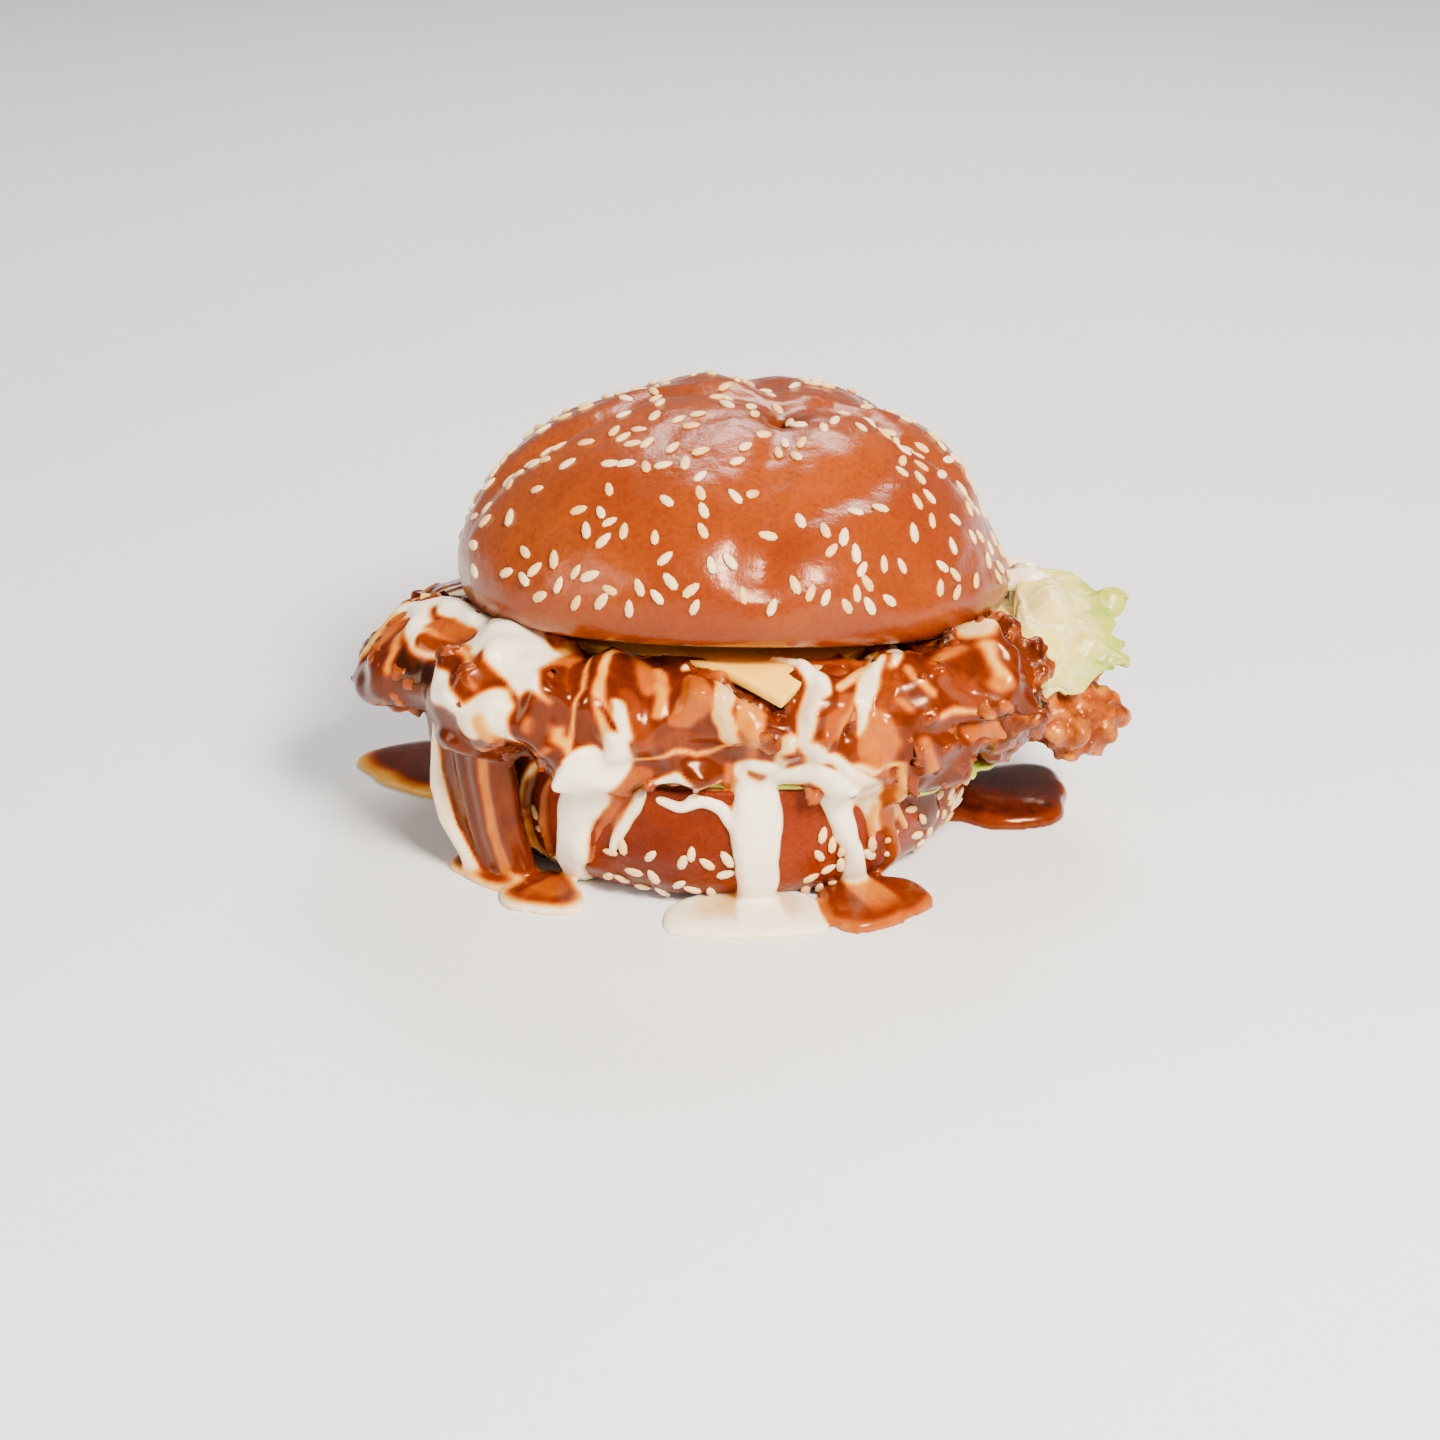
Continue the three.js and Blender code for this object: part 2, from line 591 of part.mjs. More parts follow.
function strand(course) {
  const last = course.length - 1;
  const tube = new THREE.CylinderGeometry(1, 1, last, 6, last).rotateX(Math.PI / 2);
  return solidOf(
    warped(tube, (p) => {
      const [x, y, z, radius] = course[last - Math.round(p.z + last / 2)];
      p.set(x + p.x * radius, y + p.y * radius, z);
    }),
  );
}

const batter = union([filletBody(44, 10), ...LUMPS.map(lump), ...HANGING.map(strand)]);

// What the layers above and below press out of the chicken
const pastLeaf = (u, v) => lowerLeafSurface(u, v, 0.8);
const underLeaf = sheet(lowerLeafSurface, ...LEAF_GRID, lifted(HALF_LEAF + GAP), lifted(-40));
const aroundLeaf = sheet(pastLeaf, ...LEAF_GRID, lifted(HALF_LEAF + GAP), lifted(-40));
const overLeaf = sheet(lowerLeafSurface, ...LEAF_GRID, lifted(20), lifted(-HALF_LEAF - GAP * 0.7));
const overLeafEdge = sheet(pastLeaf, ...LEAF_GRID, lifted(20), lifted(-HALF_LEAF - GAP * 0.7));
const overCheese = sheet(widened(cheeseSurface), ...CHEESE_GRID, lifted(40), lifted(-CHEESE.thickness / 2 - GAP * 2));
const overVault = sheet(widened(vaultSurface), ...VAULT_GRID, lifted(30), lifted(-HALF_LEAF - GAP));
const roundVault = sheet(
  widened(vaultSurface),
  ...VAULT_GRID,
  alongNormal(widened(vaultSurface), HALF_LEAF + GAP * 1.6),
  alongNormal(widened(vaultSurface), -HALF_LEAF - GAP * 1.6),
);
const heelRoom = bareHeel.scale([1.008, 1.008, 1]).translate([0, 0, GAP]);
const sauceRoom = union([...RUNS.map(sauceRun), ...POOLS.map(pool)]).scale([1.008, 1.008, 1]).translate([0, 0, GAP]);
const crownRoom = bareCrown.translate([0, 0, -GAP * 2]);
const heel = largest(dressedHeel.subtract(overLeaf).subtract(overLeafEdge));
const chicken = largest(
  [underLeaf, aroundLeaf, heelRoom, sauceRoom, overCheese, overVault, roundVault, crownRoom].reduce(
    (body, room) => body.subtract(room),
    batter,
  ),
);

const burger = new THREE.Group();
burger.add(
  meshOf(crown, "crown", "#c9611a", 0.35),
  meshOf(vault, "lettuce_leaf_upper", "#e2dc92", 0.5),
  meshOf(cheese, "cheese_slice", "#fbd07a", 0.5),
  meshOf(chicken, "chicken_fillet", "#c66a24", 0.4),
  meshOf(lowerLeaf, "lettuce_leaf_lower", "#d9d987", 0.5),
  meshOf(heel, "heel", "#a8430f", 0.4),
);
burger.position.set(BUN_AXIS_X, BUN_AXIS_Y, 0);

export default burger;
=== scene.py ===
"""The look of the chicken burger: bun, fillet, cheese, leaves and sauces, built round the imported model.

Shapes are worked out in millimetres with the bun's axis at x = 0, y = 0, and put into the meshes in metres.
"""
import math

import bpy
import numpy as np
from mathutils import Matrix, Vector, noise
from mathutils.bvhtree import BVHTree


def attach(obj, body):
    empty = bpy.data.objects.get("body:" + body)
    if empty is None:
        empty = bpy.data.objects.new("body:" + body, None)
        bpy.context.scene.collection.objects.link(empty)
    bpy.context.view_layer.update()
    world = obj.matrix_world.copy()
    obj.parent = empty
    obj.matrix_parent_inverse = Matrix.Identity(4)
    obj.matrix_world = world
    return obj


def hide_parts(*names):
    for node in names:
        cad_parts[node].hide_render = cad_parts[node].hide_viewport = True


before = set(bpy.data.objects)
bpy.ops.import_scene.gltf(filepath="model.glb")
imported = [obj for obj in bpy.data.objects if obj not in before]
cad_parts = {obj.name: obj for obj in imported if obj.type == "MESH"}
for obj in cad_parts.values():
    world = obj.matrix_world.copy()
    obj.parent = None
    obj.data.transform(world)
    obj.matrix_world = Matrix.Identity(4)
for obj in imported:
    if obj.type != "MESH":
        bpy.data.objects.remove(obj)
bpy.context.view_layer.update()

bpy.ops.object.select_all(action="DESELECT")

MM = 0.001
DEGREE = math.pi / 180

# Where the bun's axis stands in the frame
BUN_AXIS_X = -1.1
BUN_AXIS_Y = -1.232
BUN_AXIS = np.array([BUN_AXIS_X, BUN_AXIS_Y, 0.0])

# Driving sizes of the bun
CROWN_RADIUS = 54.6
CROWN_CUT_RADIUS = 50.5
CROWN_LOWER_HEIGHT = 7.2
CROWN_DOME_HEIGHT = 35.4
CROWN_CUT_Z = 45.5
CROWN_TILT_BACK = 7
CROWN_TILT_RIGHT = 2
CROWN_ARCH = 5.4
CROWN_LEAN = 2.2
SLOPE_RIGHT, SLOPE_LEFT, SLOPE_HEIGHT, SLOPE_SPREAD = 4.2, 1, 0.46, 0.26
HEEL_RADIUS = 51
HEEL_BASE_RADIUS = 42
HEEL_TOP_RADIUS = 49.5
HEEL_HEIGHT = 26

# The knot's dimple: x, y, depth, radius
DIMPLE = (6.5, -16, 3.4, 4.6)

# The knot's creases: depth, width, then the course over the dome, each point with its share of the depth
CREASES = [
    (3.6, 4.4, [
        (6.2, -11, 39, 1), (-2, -6.5, 40, 0.8), (-18.5, 1.5, 38.4, 0.8), (-28, -6.7, 36.5, 0.8),
        (-36, -9.9, 32.4, 0.7), (-46.5, -11.8, 22.8, 0.5), (-51, -14, 12, 0),
    ]),
    (3.2, 4.2, [
        (6.2, -11, 39, 1), (17.4, -6, 38.7, 0.9), (24, -5.6, 37.2, 0.8), (30, -12, 36.5, 0.7),
        (36.9, -10.3, 32.8, 0.7), (42.7, -9.9, 27.7, 0.5), (49, -8, 18, 0),
    ]),
    (2.7, 5.4, [
        (7.6, -13.4, 37.8, 1), (5.6, -30.4, 34.9, 0.9), (4.5, -40.4, 29.7, 1), (4.9, -46.6, 24.7, 1),
        (4, -51.5, 17.5, 0.8), (4.1, -53.3, 10.5, 0.2),
    ]),
    (2.3, 5.2, [
        (5.7, -46.8, 24.8, 0.8), (11.5, -41.4, 27.9, 1), (17.1, -38, 29.5, 1), (22.8, -34.2, 30.6, 0.9),
        (30, -21.4, 32.6, 0.6), (35.6, -9, 33.8, 0.3),
    ]),
    (1.4, 5.5, [(31, -37, 24, 0), (31.4, -39.3, 18.9, 0.8), (33.5, -40.3, 13.5, 1), (31.9, -44, 7.3, 0.5)]),
    (2.8, 5, [(6.2, -11, 39, 1), (3, 8, 41, 1), (-4, 26, 34, 0.7), (-9, 44, 20, 0)]),
    (2.2, 5, [(-2, -6.5, 40, 0.3), (-20, 14, 36, 1), (-34, 26, 28, 0.8), (-44, 32, 16, 0)]),
    (2, 5, [(17.4, -6, 38.7, 0.3), (26, 12, 36, 1), (36, 24, 28, 0.7), (43, 32, 16, 0)]),
]

SEED_LENGTH, SEED_WIDTH, SEED_HEIGHT = 3.8, 1.85, 1.1
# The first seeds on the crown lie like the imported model's, and the extra ones between them
CROWN_SEEDS = 70
EXTRA_CROWN_SEEDS = 210
# The least distance between the middles of two seeds
CROWN_SPACING, CROWD_SPACING, HEEL_SPACING = 2.7, 2.9, 2.5
# Where more of them lie, low on the crown: bearing, spread, lowest and highest rise, count
CROWN_SEED_CROWDS = [(-76, 15, 0.0, 0.16, 22), (-24, 20, 0.02, 0.45, 24), (-118, 14, 0.0, 0.2, 16)]
HEEL_SEEDS = 190
# Where the heel's seeds lie close together: bearing and width in degrees
HEEL_SEED_CROWDS = [(-103, 12), (-69, 7), (-30, 18), (24, 20), (72, 26), (128, 22), (-172, 16), (-146, 9)]

# The gap between layers, and the sizes of what lies between the two halves of the bun
GAP = 0.35
CHEESE_SIDE, CHEESE_THICKNESS, CHEESE_X, CHEESE_Y, CHEESE_TURN = 86, 2.6, -3, 4, 57
# Where the cheese starts to bend down, the radius of the bend, and the bearing of its left corner
CHEESE_EDGE, CHEESE_BEND, CHEESE_LEFT = 46, 9, -168
# The leaves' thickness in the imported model, and the finer one that is shown
LEAF_THICKNESS = 1.1
LOWER_LEAF_SHOWN, UPPER_LEAF_SHOWN = 0.8, 0.9


# Small helpers for the arithmetic

def smooth(a, b, x):
    share = np.clip((np.asarray(x, float) - a) / (b - a), 0, 1)
    return share * share * (3 - 2 * share)


def bell(x):
    return np.exp(-np.asarray(x, float) ** 2)


def mixed(a, b, share):
    return a + (b - a) * share


def chance(number, kind):
    """The same draw for the same number, from 0 to 1."""
    value = np.sin(np.asarray(number, float) * 12.9898 + kind * 78.233) * 43758.5453
    return value - np.floor(value)


def lumps(p, wavelength, shift=0.0):
    """Soft lumps from -1 to 1 with roughly the wavelength given, in millimetres."""
    k = 2 * math.pi / wavelength
    x, y, z = p[..., 0], p[..., 1], p[..., 2]
    a = np.sin(k * (x + 0.4 * y) + 1.3 + shift) * np.sin(k * (z - 0.3 * x) + shift)
    b = np.sin(k * (0.8 * y - 0.5 * z) + 2.1 - shift) * np.cos(k * (x + z) * 0.7)
    return 0.5 * (a + b)


def unit(v):
    return v / np.maximum(np.linalg.norm(v, axis=-1, keepdims=True), 1e-9)


def points(x, y, z):
    return np.stack(np.broadcast_arrays(x, y, z), axis=-1).astype(float)


def around(reach, angle, height):
    """Places at this reach from the bun's axis, this angle round it and this height."""
    return points(reach * np.cos(angle), reach * np.sin(angle), height)


def angle_of(p):
    return np.arctan2(p[..., 1], p[..., 0])


def reach_of(p):
    return np.hypot(p[..., 0], p[..., 1])


def facing(angle):
    """How far a place faces the front: 1 there, 0 at the sides and the back."""
    return np.maximum(0, np.cos(angle + math.pi / 2))


def turned_from(bearing, middle):
    """The shorter way round from one bearing to another, in degrees."""
    return (bearing - middle + 180) % 360 - 180


def beside(p, start, end):
    """How far each place is from a straight run, and the run's fourth number beside it."""
    a = np.array(start, float)
    step = np.array(end, float) - a
    along = np.clip((p - a[:3]) @ step[:3] / (step[:3] @ step[:3]), 0, 1)
    away = np.linalg.norm(p - a[:3] - along[..., None] * step[:3], axis=-1)
    return away, a[3] + along * step[3]


def grain(p, size, octaves=3, shift=0.0):
    """Fractal noise from about -1 to 1, with features of the size given."""
    out = np.empty(len(p))
    for i, (x, y, z) in enumerate(p / size + shift):
        out[i] = noise.fractal((x, y, z), 1.0, 2.0, octaves)
    return out


# Meshes

def fresh(name):
    made = bpy.context.active_object
    made.name = name
    made.data.name = name
    return made


def points_of(piece):
    flat = np.empty(len(piece.data.vertices) * 3)
    piece.data.vertices.foreach_get("co", flat)
    return flat.reshape(-1, 3) / MM


def normals_of(piece):
    flat = np.empty(len(piece.data.vertices) * 3)
    piece.data.vertices.foreach_get("normal", flat)
    return flat.reshape(-1, 3)


def place_points(piece, p):
    piece.data.vertices.foreach_set("co", (p * MM).ravel())
    piece.data.update()


def choose(*pieces):
    """Selects these pieces alone, with the first one active."""
    bpy.ops.object.select_all(action="DESELECT")
    for piece in pieces:
        piece.select_set(True)
    bpy.context.view_layer.objects.active = pieces[0]


def apply(piece, kind, **settings):
    """Adds a modifier with these settings and applies it."""
    choose(piece)
    modifier = piece.modifiers.new(kind.lower(), kind)
    for key, value in settings.items():
        setattr(modifier, key, value)
    bpy.ops.object.modifier_apply(modifier=modifier.name)


def edit(piece, step, **settings):
    """Runs one edit-mode step on the whole of a piece."""
    choose(piece)
    bpy.ops.object.mode_set(mode="EDIT")
    bpy.ops.mesh.select_all(action="SELECT")
    step(**settings)
    bpy.ops.object.mode_set(mode="OBJECT")


def even_out(piece, voxel, rounds):
    """Melts what overlaps in a piece together, and smooths the result."""
    apply(piece, "REMESH", mode="VOXEL", voxel_size=voxel * MM)
    apply(piece, "SMOOTH", factor=0.5, iterations=rounds)


def joined(name, pieces):
    choose(*pieces)
    bpy.ops.object.join()
    return fresh(name)


def ball(name, segments, rings):
    bpy.ops.mesh.primitive_uv_sphere_add(segments=segments, ring_count=rings, radius=1)
    return fresh(name)


def unit_points(piece):
    """A new primitive's own points, before they have a size in millimetres."""
    return points_of(piece) * MM


def grid_sheet(name, across, along):
    """A flat sheet, with each point's place on it from -1 to 1, both ways."""
    bpy.ops.mesh.primitive_grid_add(x_subdivisions=across, y_subdivisions=along, size=2)
    sheet = fresh(name)
    flat = unit_points(sheet)
    return sheet, flat[:, 0], flat[:, 1]


def attribute(piece, name, values):
    """Keeps one number a vertex on the piece, for its material."""
    layer = piece.data.attributes.new(name, "FLOAT", "POINT")
    layer.data.foreach_set("value", np.asarray(values, np.float32))


def to_frame(piece):
    """Moves a finished piece's points from the bun's axis to the frame, and shades it smooth."""
    place_points(piece, points_of(piece) + BUN_AXIS)
    piece.data.shade_smooth()
    return piece


# The crown, in its own frame: its cut face lies on z = 0

def crease_depth(p):
    """How deep the knot's creases lie at each place of the plain dome."""
    total = np.zeros(p.shape[:-1])
    for depth, width, course in CREASES:
        share_here = np.zeros(p.shape[:-1])
        for start, end in zip(course, course[1:]):
            away, share = beside(p, start, end)
            share_here = np.maximum(share_here, share * bell(away / width))
        total += (depth * share_here) ** 3
    return total ** (1 / 3)


def crown_warp(p):
    """Turns the plain dome into the knotted bun: uneven, leaning, creased and arched at the front."""
    x, y, z = p[..., 0], p[..., 1], p[..., 2]
    angle = angle_of(p)
    height = np.clip(z / (CROWN_LOWER_HEIGHT + CROWN_DOME_HEIGHT), 0, 1)
    rounding = 1 + 0.012 * np.sin(2 * angle + 0.6) + 0.01 * np.sin(3 * angle + 2)
    on_dome = smooth(CROWN_LOWER_HEIGHT * 0.5, CROWN_LOWER_HEIGHT * 1.8, z)
    away = np.hypot(x - DIMPLE[0], y - DIMPLE[1])
    sink = (crease_depth(p) ** 3 + (DIMPLE[2] * bell(away / DIMPLE[3])) ** 3) ** (1 / 3)
    out = unit(points(x, y, z + 12))
    swell = 0.5 + 0.7 * lumps(p, 42, 0.7)
    front = facing(angle) ** 2 * (reach_of(p) / CROWN_RADIUS) ** 3
    arch = CROWN_ARCH * front * (1 - height) ** 2
    pinch = on_dome * bell((height - SLOPE_HEIGHT) / SLOPE_SPREAD) * np.cos(angle) ** 2
    shift = np.where(np.cos(angle) > 0, SLOPE_RIGHT, -SLOPE_LEFT)
    moved = points(x * rounding + CROWN_LEAN * height ** 1.5 - pinch * shift, y * rounding, z)
    moved += out * (on_dome * (swell - sink))[..., None]
    moved[..., 2] += arch
    return moved


def dome_point(rise):
    """Radius and height of the plain dome, for a rise from 0 at its rim to a quarter turn at the top."""
    return (
        CROWN_RADIUS * np.maximum(np.cos(rise), 0) ** 0.98,
        CROWN_LOWER_HEIGHT + CROWN_DOME_HEIGHT * np.maximum(np.sin(rise), 0) ** 0.98,
    )


CROWN_PLACE = (
    Matrix.Translation((0, 0, CROWN_CUT_Z))
    @ Matrix.Rotation(CROWN_TILT_RIGHT * DEGREE, 4, "Y")
    @ Matrix.Rotation(-CROWN_TILT_BACK * DEGREE, 4, "X")
)


def placed(p, matrix):
    m = np.array(matrix)
    return p @ m[:3, :3].T + m[:3, 3]


def crown_point(angle, rise):
    r, h = dome_point(np.clip(rise, 0, math.pi / 2 - 1e-4))
    return crown_warp(around(r, angle, h))


def underside(x, y):
    """The height of the crown's cut face over a point of the filling."""
    front = facing(np.arctan2(y, x)) ** 2
    arch = CROWN_ARCH * front * np.minimum(1, np.hypot(x, y) / CROWN_RADIUS) ** 3
    tilt_back = math.tan(CROWN_TILT_BACK * DEGREE)
    tilt_right = math.tan(CROWN_TILT_RIGHT * DEGREE)
    return CROWN_CUT_Z - y * tilt_back - x * tilt_right + arch


def turned_body(name, profile, segments, rings):
    """A round body: profile gives radius and height for a share of the way from bottom to top."""
    body = ball(name, segments, rings)
    p = unit_points(body)
    share = 0.5 + np.arcsin(np.clip(p[:, 2], -1, 1)) / math.pi
    r, h = profile(share)
    return body, around(r, angle_of(p), h)


def crown_profile(share):
    bulge = CROWN_RADIUS - CROWN_CUT_RADIUS
    flat_end, side_end = 0.22, 0.34
    on_side = np.clip((share - flat_end) / (side_end - flat_end), 0, 1) * math.pi / 2
    on_dome = np.clip((share - side_end) / (1 - side_end), 0, 1) * math.pi / 2
    dome_r, dome_h = dome_point(on_dome)
    on_cut = CROWN_CUT_RADIUS * share / flat_end
    r = np.where(share < flat_end, on_cut, CROWN_CUT_RADIUS + bulge * np.sin(on_side))
    h = np.where(share < flat_end, 0, CROWN_LOWER_HEIGHT * (1 - np.cos(on_side)))
    return np.where(share > side_end, dome_r, r), np.where(share > side_end, dome_h, h)


def build_crown():
    crown, p = turned_body("bun_crown", crown_profile, 240, 150)
    cut = p[:, 2] < 0.05
    away = np.hypot(p[:, 0] - DIMPLE[0], p[:, 1] - DIMPLE[1])
    p = crown_warp(p)
    out = unit(p + np.array([0, 0, 12.0]))
    fine = 0.35 * grain(p, 9) - 1.8 * bell(away / 2.4)
    fine = np.where(cut, 0.5 * grain(p, 2.5), fine)
    p = p + out * fine[:, None]
    place_points(crown, placed(p, CROWN_PLACE))
    attribute(crown, "crumb", cut)
    # Painted shade in the dimple: this value darkens the crust round it.
    attribute(crown, "knot", bell(away / 7))
    # Painted shade: the crust is darkened towards the bottom of the crown.
    attribute(crown, "low_shade", 0.6 * bell((p[:, 2] - 1) / 11))
    return to_frame(crown)


def seed_template():
    seed = ball("seed", 8, 6)
    p = unit_points(seed)
    taper = 1 - 0.17 * p[:, 1]
    p[:, 0] *= taper
    p[:, 2] *= taper
    place_points(seed, p * np.array([SEED_WIDTH, SEED_LENGTH, SEED_HEIGHT]) / 2)
    return seed


def lay_seeds(name, point_at, places, matrix):
    """Copies of one seed, each laid half sunk on the surface that point_at gives."""
    template = seed_template()
    step = 0.01
    sunk = SEED_HEIGHT * 0.12
    seeds = []
    for number, (angle, rise, spin, size) in enumerate(places):
        p = point_at(angle, rise)
        a = unit(point_at(angle + step, rise) - point_at(angle - step, rise))
        b = unit(point_at(angle, rise + step) - point_at(angle, rise - step))
        normal = unit(np.cross(a, b))
        if normal @ p < 0:
            normal = -normal
        along = unit(a * math.cos(spin) + b * math.sin(spin))
        tip = 0.16 * (chance(number, 11) - 0.5)
        along = unit(along + normal * tip)
        axes = np.array([np.cross(along, normal), along, normal]).T * size
        at = (p + normal * sunk) * MM
        seed = template.copy()
        seed.data = template.data.copy()
        seed.data.transform(Matrix([[*axis, shift] for axis, shift in zip(axes, at)] + [[0, 0, 0, 1]]))
        attribute(seed, "shade", np.full(len(seed.data.vertices), chance(number, 12)))
        bpy.context.scene.collection.objects.link(seed)
        seeds.append(seed)
    bpy.data.objects.remove(template)
    piece = joined(name, seeds)
    place_points(piece, placed(points_of(piece), matrix))
    edit(piece, bpy.ops.mesh.normals_make_consistent, inside=False)
    return to_frame(piece)


def too_close(p, taken, spacing):
    return bool(taken) and np.min(np.linalg.norm(np.array(taken) - p, axis=1)) < spacing


def crown_seed_places():
    """The seeds on the crown, each as angle, rise, spin and size."""
    golden = math.pi * (3 - math.sqrt(5))
    places = []
    for i in range(CROWN_SEEDS):
        share = (i + 0.5 + 0.9 * (chance(i, 1) - 0.5)) / CROWN_SEEDS
        rise = math.asin(min(1, max(0, 1 - share * 0.97)))
        angle = i * golden + 0.45 * (chance(i, 2) - 0.5)
        places.append((angle, rise, math.pi * chance(i, 3), 0.9 + 0.2 * chance(i, 4)))
    taken = [crown_point(angle, rise) for angle, rise, _, _ in places]
    number = 0
    while len(places) < CROWN_SEEDS + EXTRA_CROWN_SEEDS:
        number += 1
        share = chance(number, 21) ** 1.05
        rise = math.asin(1 - share * 0.99)
        angle = 2 * math.pi * chance(number, 22)
        p = crown_point(angle, rise)
        clump = noise.noise(Vector(p) / 17 + Vector((3.1, 0, 0)))
        if clump < -0.1 + 0.3 * (chance(number, 23) - 0.5):
            continue
        if too_close(p, taken, CROWN_SPACING):
            continue
        taken.append(p)
        spin = math.pi / 2 + 2.3 * (chance(number, 24) - 0.5)
        places.append((angle, rise, spin, 0.88 + 0.24 * chance(number, 25)))
    for middle, spread, low, high, count in CROWN_SEED_CROWDS:
        for _ in range(count):
            number += 1
            angle = (middle + spread * (2 * chance(number, 21) - 1)) * DEGREE
            rise = low + (high - low) * chance(number, 22)
            p = crown_point(angle, rise)
            if too_close(p, taken, CROWD_SPACING):
                continue
            taken.append(p)
            places.append((angle, rise, math.pi / 2 + 1.6 * (chance(number, 24) - 0.5), 0.95))
    return places


# The heel, standing on z = 0

HEEL_SIDE = [
    (HEEL_BASE_RADIUS, 0),
    (HEEL_BASE_RADIUS + 4, 1.8),
    (HEEL_BASE_RADIUS + 7.3, 6),
    (HEEL_RADIUS, 12.5),
    (HEEL_RADIUS - 0.5, 19),
    (HEEL_TOP_RADIUS, HEEL_HEIGHT),
]


def heel_radius(z):
    return np.interp(z, [h for _, h in HEEL_SIDE], [r for r, _ in HEEL_SIDE])


def heel_warp(p):
    angle = angle_of(p)
    rounding = 1 + 0.01 * np.sin(2 * angle - 0.5) + 0.008 * np.sin(5 * angle)
    return points(p[..., 0] * rounding, p[..., 1] * rounding, p[..., 2])


def heel_point(angle, z):
    return heel_warp(around(heel_radius(z), angle, z))


def heel_profile(share):
    bottom_end, top_start = 0.25, 0.78
    z = np.clip((share - bottom_end) / (top_start - bottom_end), 0, 1) * HEEL_HEIGHT
    soft = (heel_radius(z - 0.8) + heel_radius(z) + heel_radius(z + 0.8)) / 3
    r = np.where(share < bottom_end, soft * share / bottom_end, soft)
    r = np.where(share > top_start, HEEL_TOP_RADIUS * (1 - share) / (1 - top_start), r)
    return r, z


def build_heel():
    heel, p = turned_body("bun_heel", heel_profile, 220, 110)
    r, z = reach_of(p), p[:, 2]
    side = (r > heel_radius(z) * 0.985) & (z > 0.3)
    top = (z > HEEL_HEIGHT - 0.05) & (r < HEEL_TOP_RADIUS - 0.5)
    p = heel_warp(p)
    out = unit(p * np.array([1, 1, 0.0]) + 1e-9)
    p = p + out * np.where(side, 0.4 * grain(p, 9, shift=4.0), 0)[:, None]
    place_points(heel, p)
    attribute(heel, "crumb", top)
    attribute(heel, "knot", np.zeros(len(p)))
    # Painted shade: the heel's crust is darkened towards the floor.
    attribute(heel, "low_shade", 0.3 * bell((p[:, 2] - 2) / 7))
    return to_frame(heel)


def heel_seed_places():
    """The seeds on the heel, each as angle, height, spin and size."""
    places = []
    taken = []
    number = 0
    while len(places) < HEEL_SEEDS:
        number += 1
        angle = 360 * chance(number, 5)
        crowd = max(bell(turned_from(angle, at) / width) for at, width in HEEL_SEED_CROWDS)
        if chance(number, 9) > 0.12 + crowd:
            continue
        z = 2.2 + 14 * chance(number, 6) ** 1.2
        p = heel_point(angle * DEGREE, z)
        if too_close(p, taken, HEEL_SPACING):
            continue
        taken.append(p)
        places.append((angle * DEGREE, z, math.pi * chance(number, 7), 0.88 + 0.22 * chance(number, 8)))
    return places


# Cheese: a square slice, turned corner to the front. Its corners bend down past the bun,
# all but the left one, which lies up on the chicken

def cheese_surface(u, v):
    """The slice's middle surface: flat under the bun, then bent down past its edge."""
    turn = CHEESE_TURN * DEGREE
    a = u * CHEESE_SIDE / 2
    b = v * CHEESE_SIDE / 2
    x = CHEESE_X + a * math.cos(turn) - b * math.sin(turn)
    y = CHEESE_Y + a * math.sin(turn) + b * math.cos(turn)
    reach = np.maximum(np.hypot(x, y), 1e-6)
    angle = np.arctan2(y, x)
    turned_left = (angle - CHEESE_LEFT * DEGREE + math.pi) % (2 * math.pi) - math.pi
    left = bell(turned_left / 0.4)
    back = np.maximum(0, np.sin(angle))
    steepest = (14 + 10 * facing(angle) + 14 * back) * (1 - 0.9 * left) * DEGREE
    hanging = np.maximum(reach - CHEESE_EDGE, 0)
    turned = np.minimum(hanging / CHEESE_BEND, steepest)
    rest = hanging - turned * CHEESE_BEND
    bent = CHEESE_EDGE + CHEESE_BEND * np.sin(turned) + rest * np.cos(turned)
    flat = np.where(hanging > 0, bent, reach)
    drop = CHEESE_BEND * (1 - np.cos(turned)) + rest * np.sin(turned)
    x = x * flat / reach
    y = y * flat / reach
    inside = np.minimum(1, CHEESE_EDGE / reach)
    lift = 0.42 * left * np.maximum(0, reach - 50)
    return points(x, y, underside(x * inside, y * inside) - 4.4 - drop + lift)


def build_cheese():
    cheese, u, v = grid_sheet("cheese", 70, 70)
    p = cheese_surface(u * 0.985, v * 0.985)
    edge = np.maximum(np.abs(u), np.abs(v))
    p[:, 2] += 0.5 * smooth(0.6, 1, edge) * np.sin(7 * u + 3 * v) + 0.25 * grain(p, 14)
    place_points(cheese, p)
    apply(cheese, "SOLIDIFY", thickness=CHEESE_THICKNESS * MM, offset=0)
    apply(cheese, "BEVEL", width=0.45 * MM, segments=2, limit_method="ANGLE", angle_limit=50 * DEGREE)
    return to_frame(cheese)


# The lower leaf lies on the heel, and droops over it at the front right

def lower_leaf_surface(u, v):
    x = u * np.sqrt(1 - v * v / 2)
    y = v * np.sqrt(1 - u * u / 2)
    share = np.hypot(x, y)
    angle = np.arctan2(y, x)
    tongue = bell((angle + 30 * DEGREE) / (30 * DEGREE))
    rear = bell((angle - 125 * DEGREE) / (28 * DEGREE))
    ledge = bell((angle + 95 * DEGREE) / (35 * DEGREE))
    radius = 50.2 - 1.6 * ledge + 11.5 * tongue + 7 * rear + 0.5 * np.sin(5 * angle + 1)
    reach = share * radius
    outside = np.maximum(0, reach - HEEL_RADIUS)
    wave = np.minimum(1, outside / 5) * 1.2 * np.sin(9 * angle + 0.8)
    z = HEEL_HEIGHT + GAP + LEAF_THICKNESS / 2 - 0.4 * outside + wave
    return around(reach, angle, z), share, angle, outside


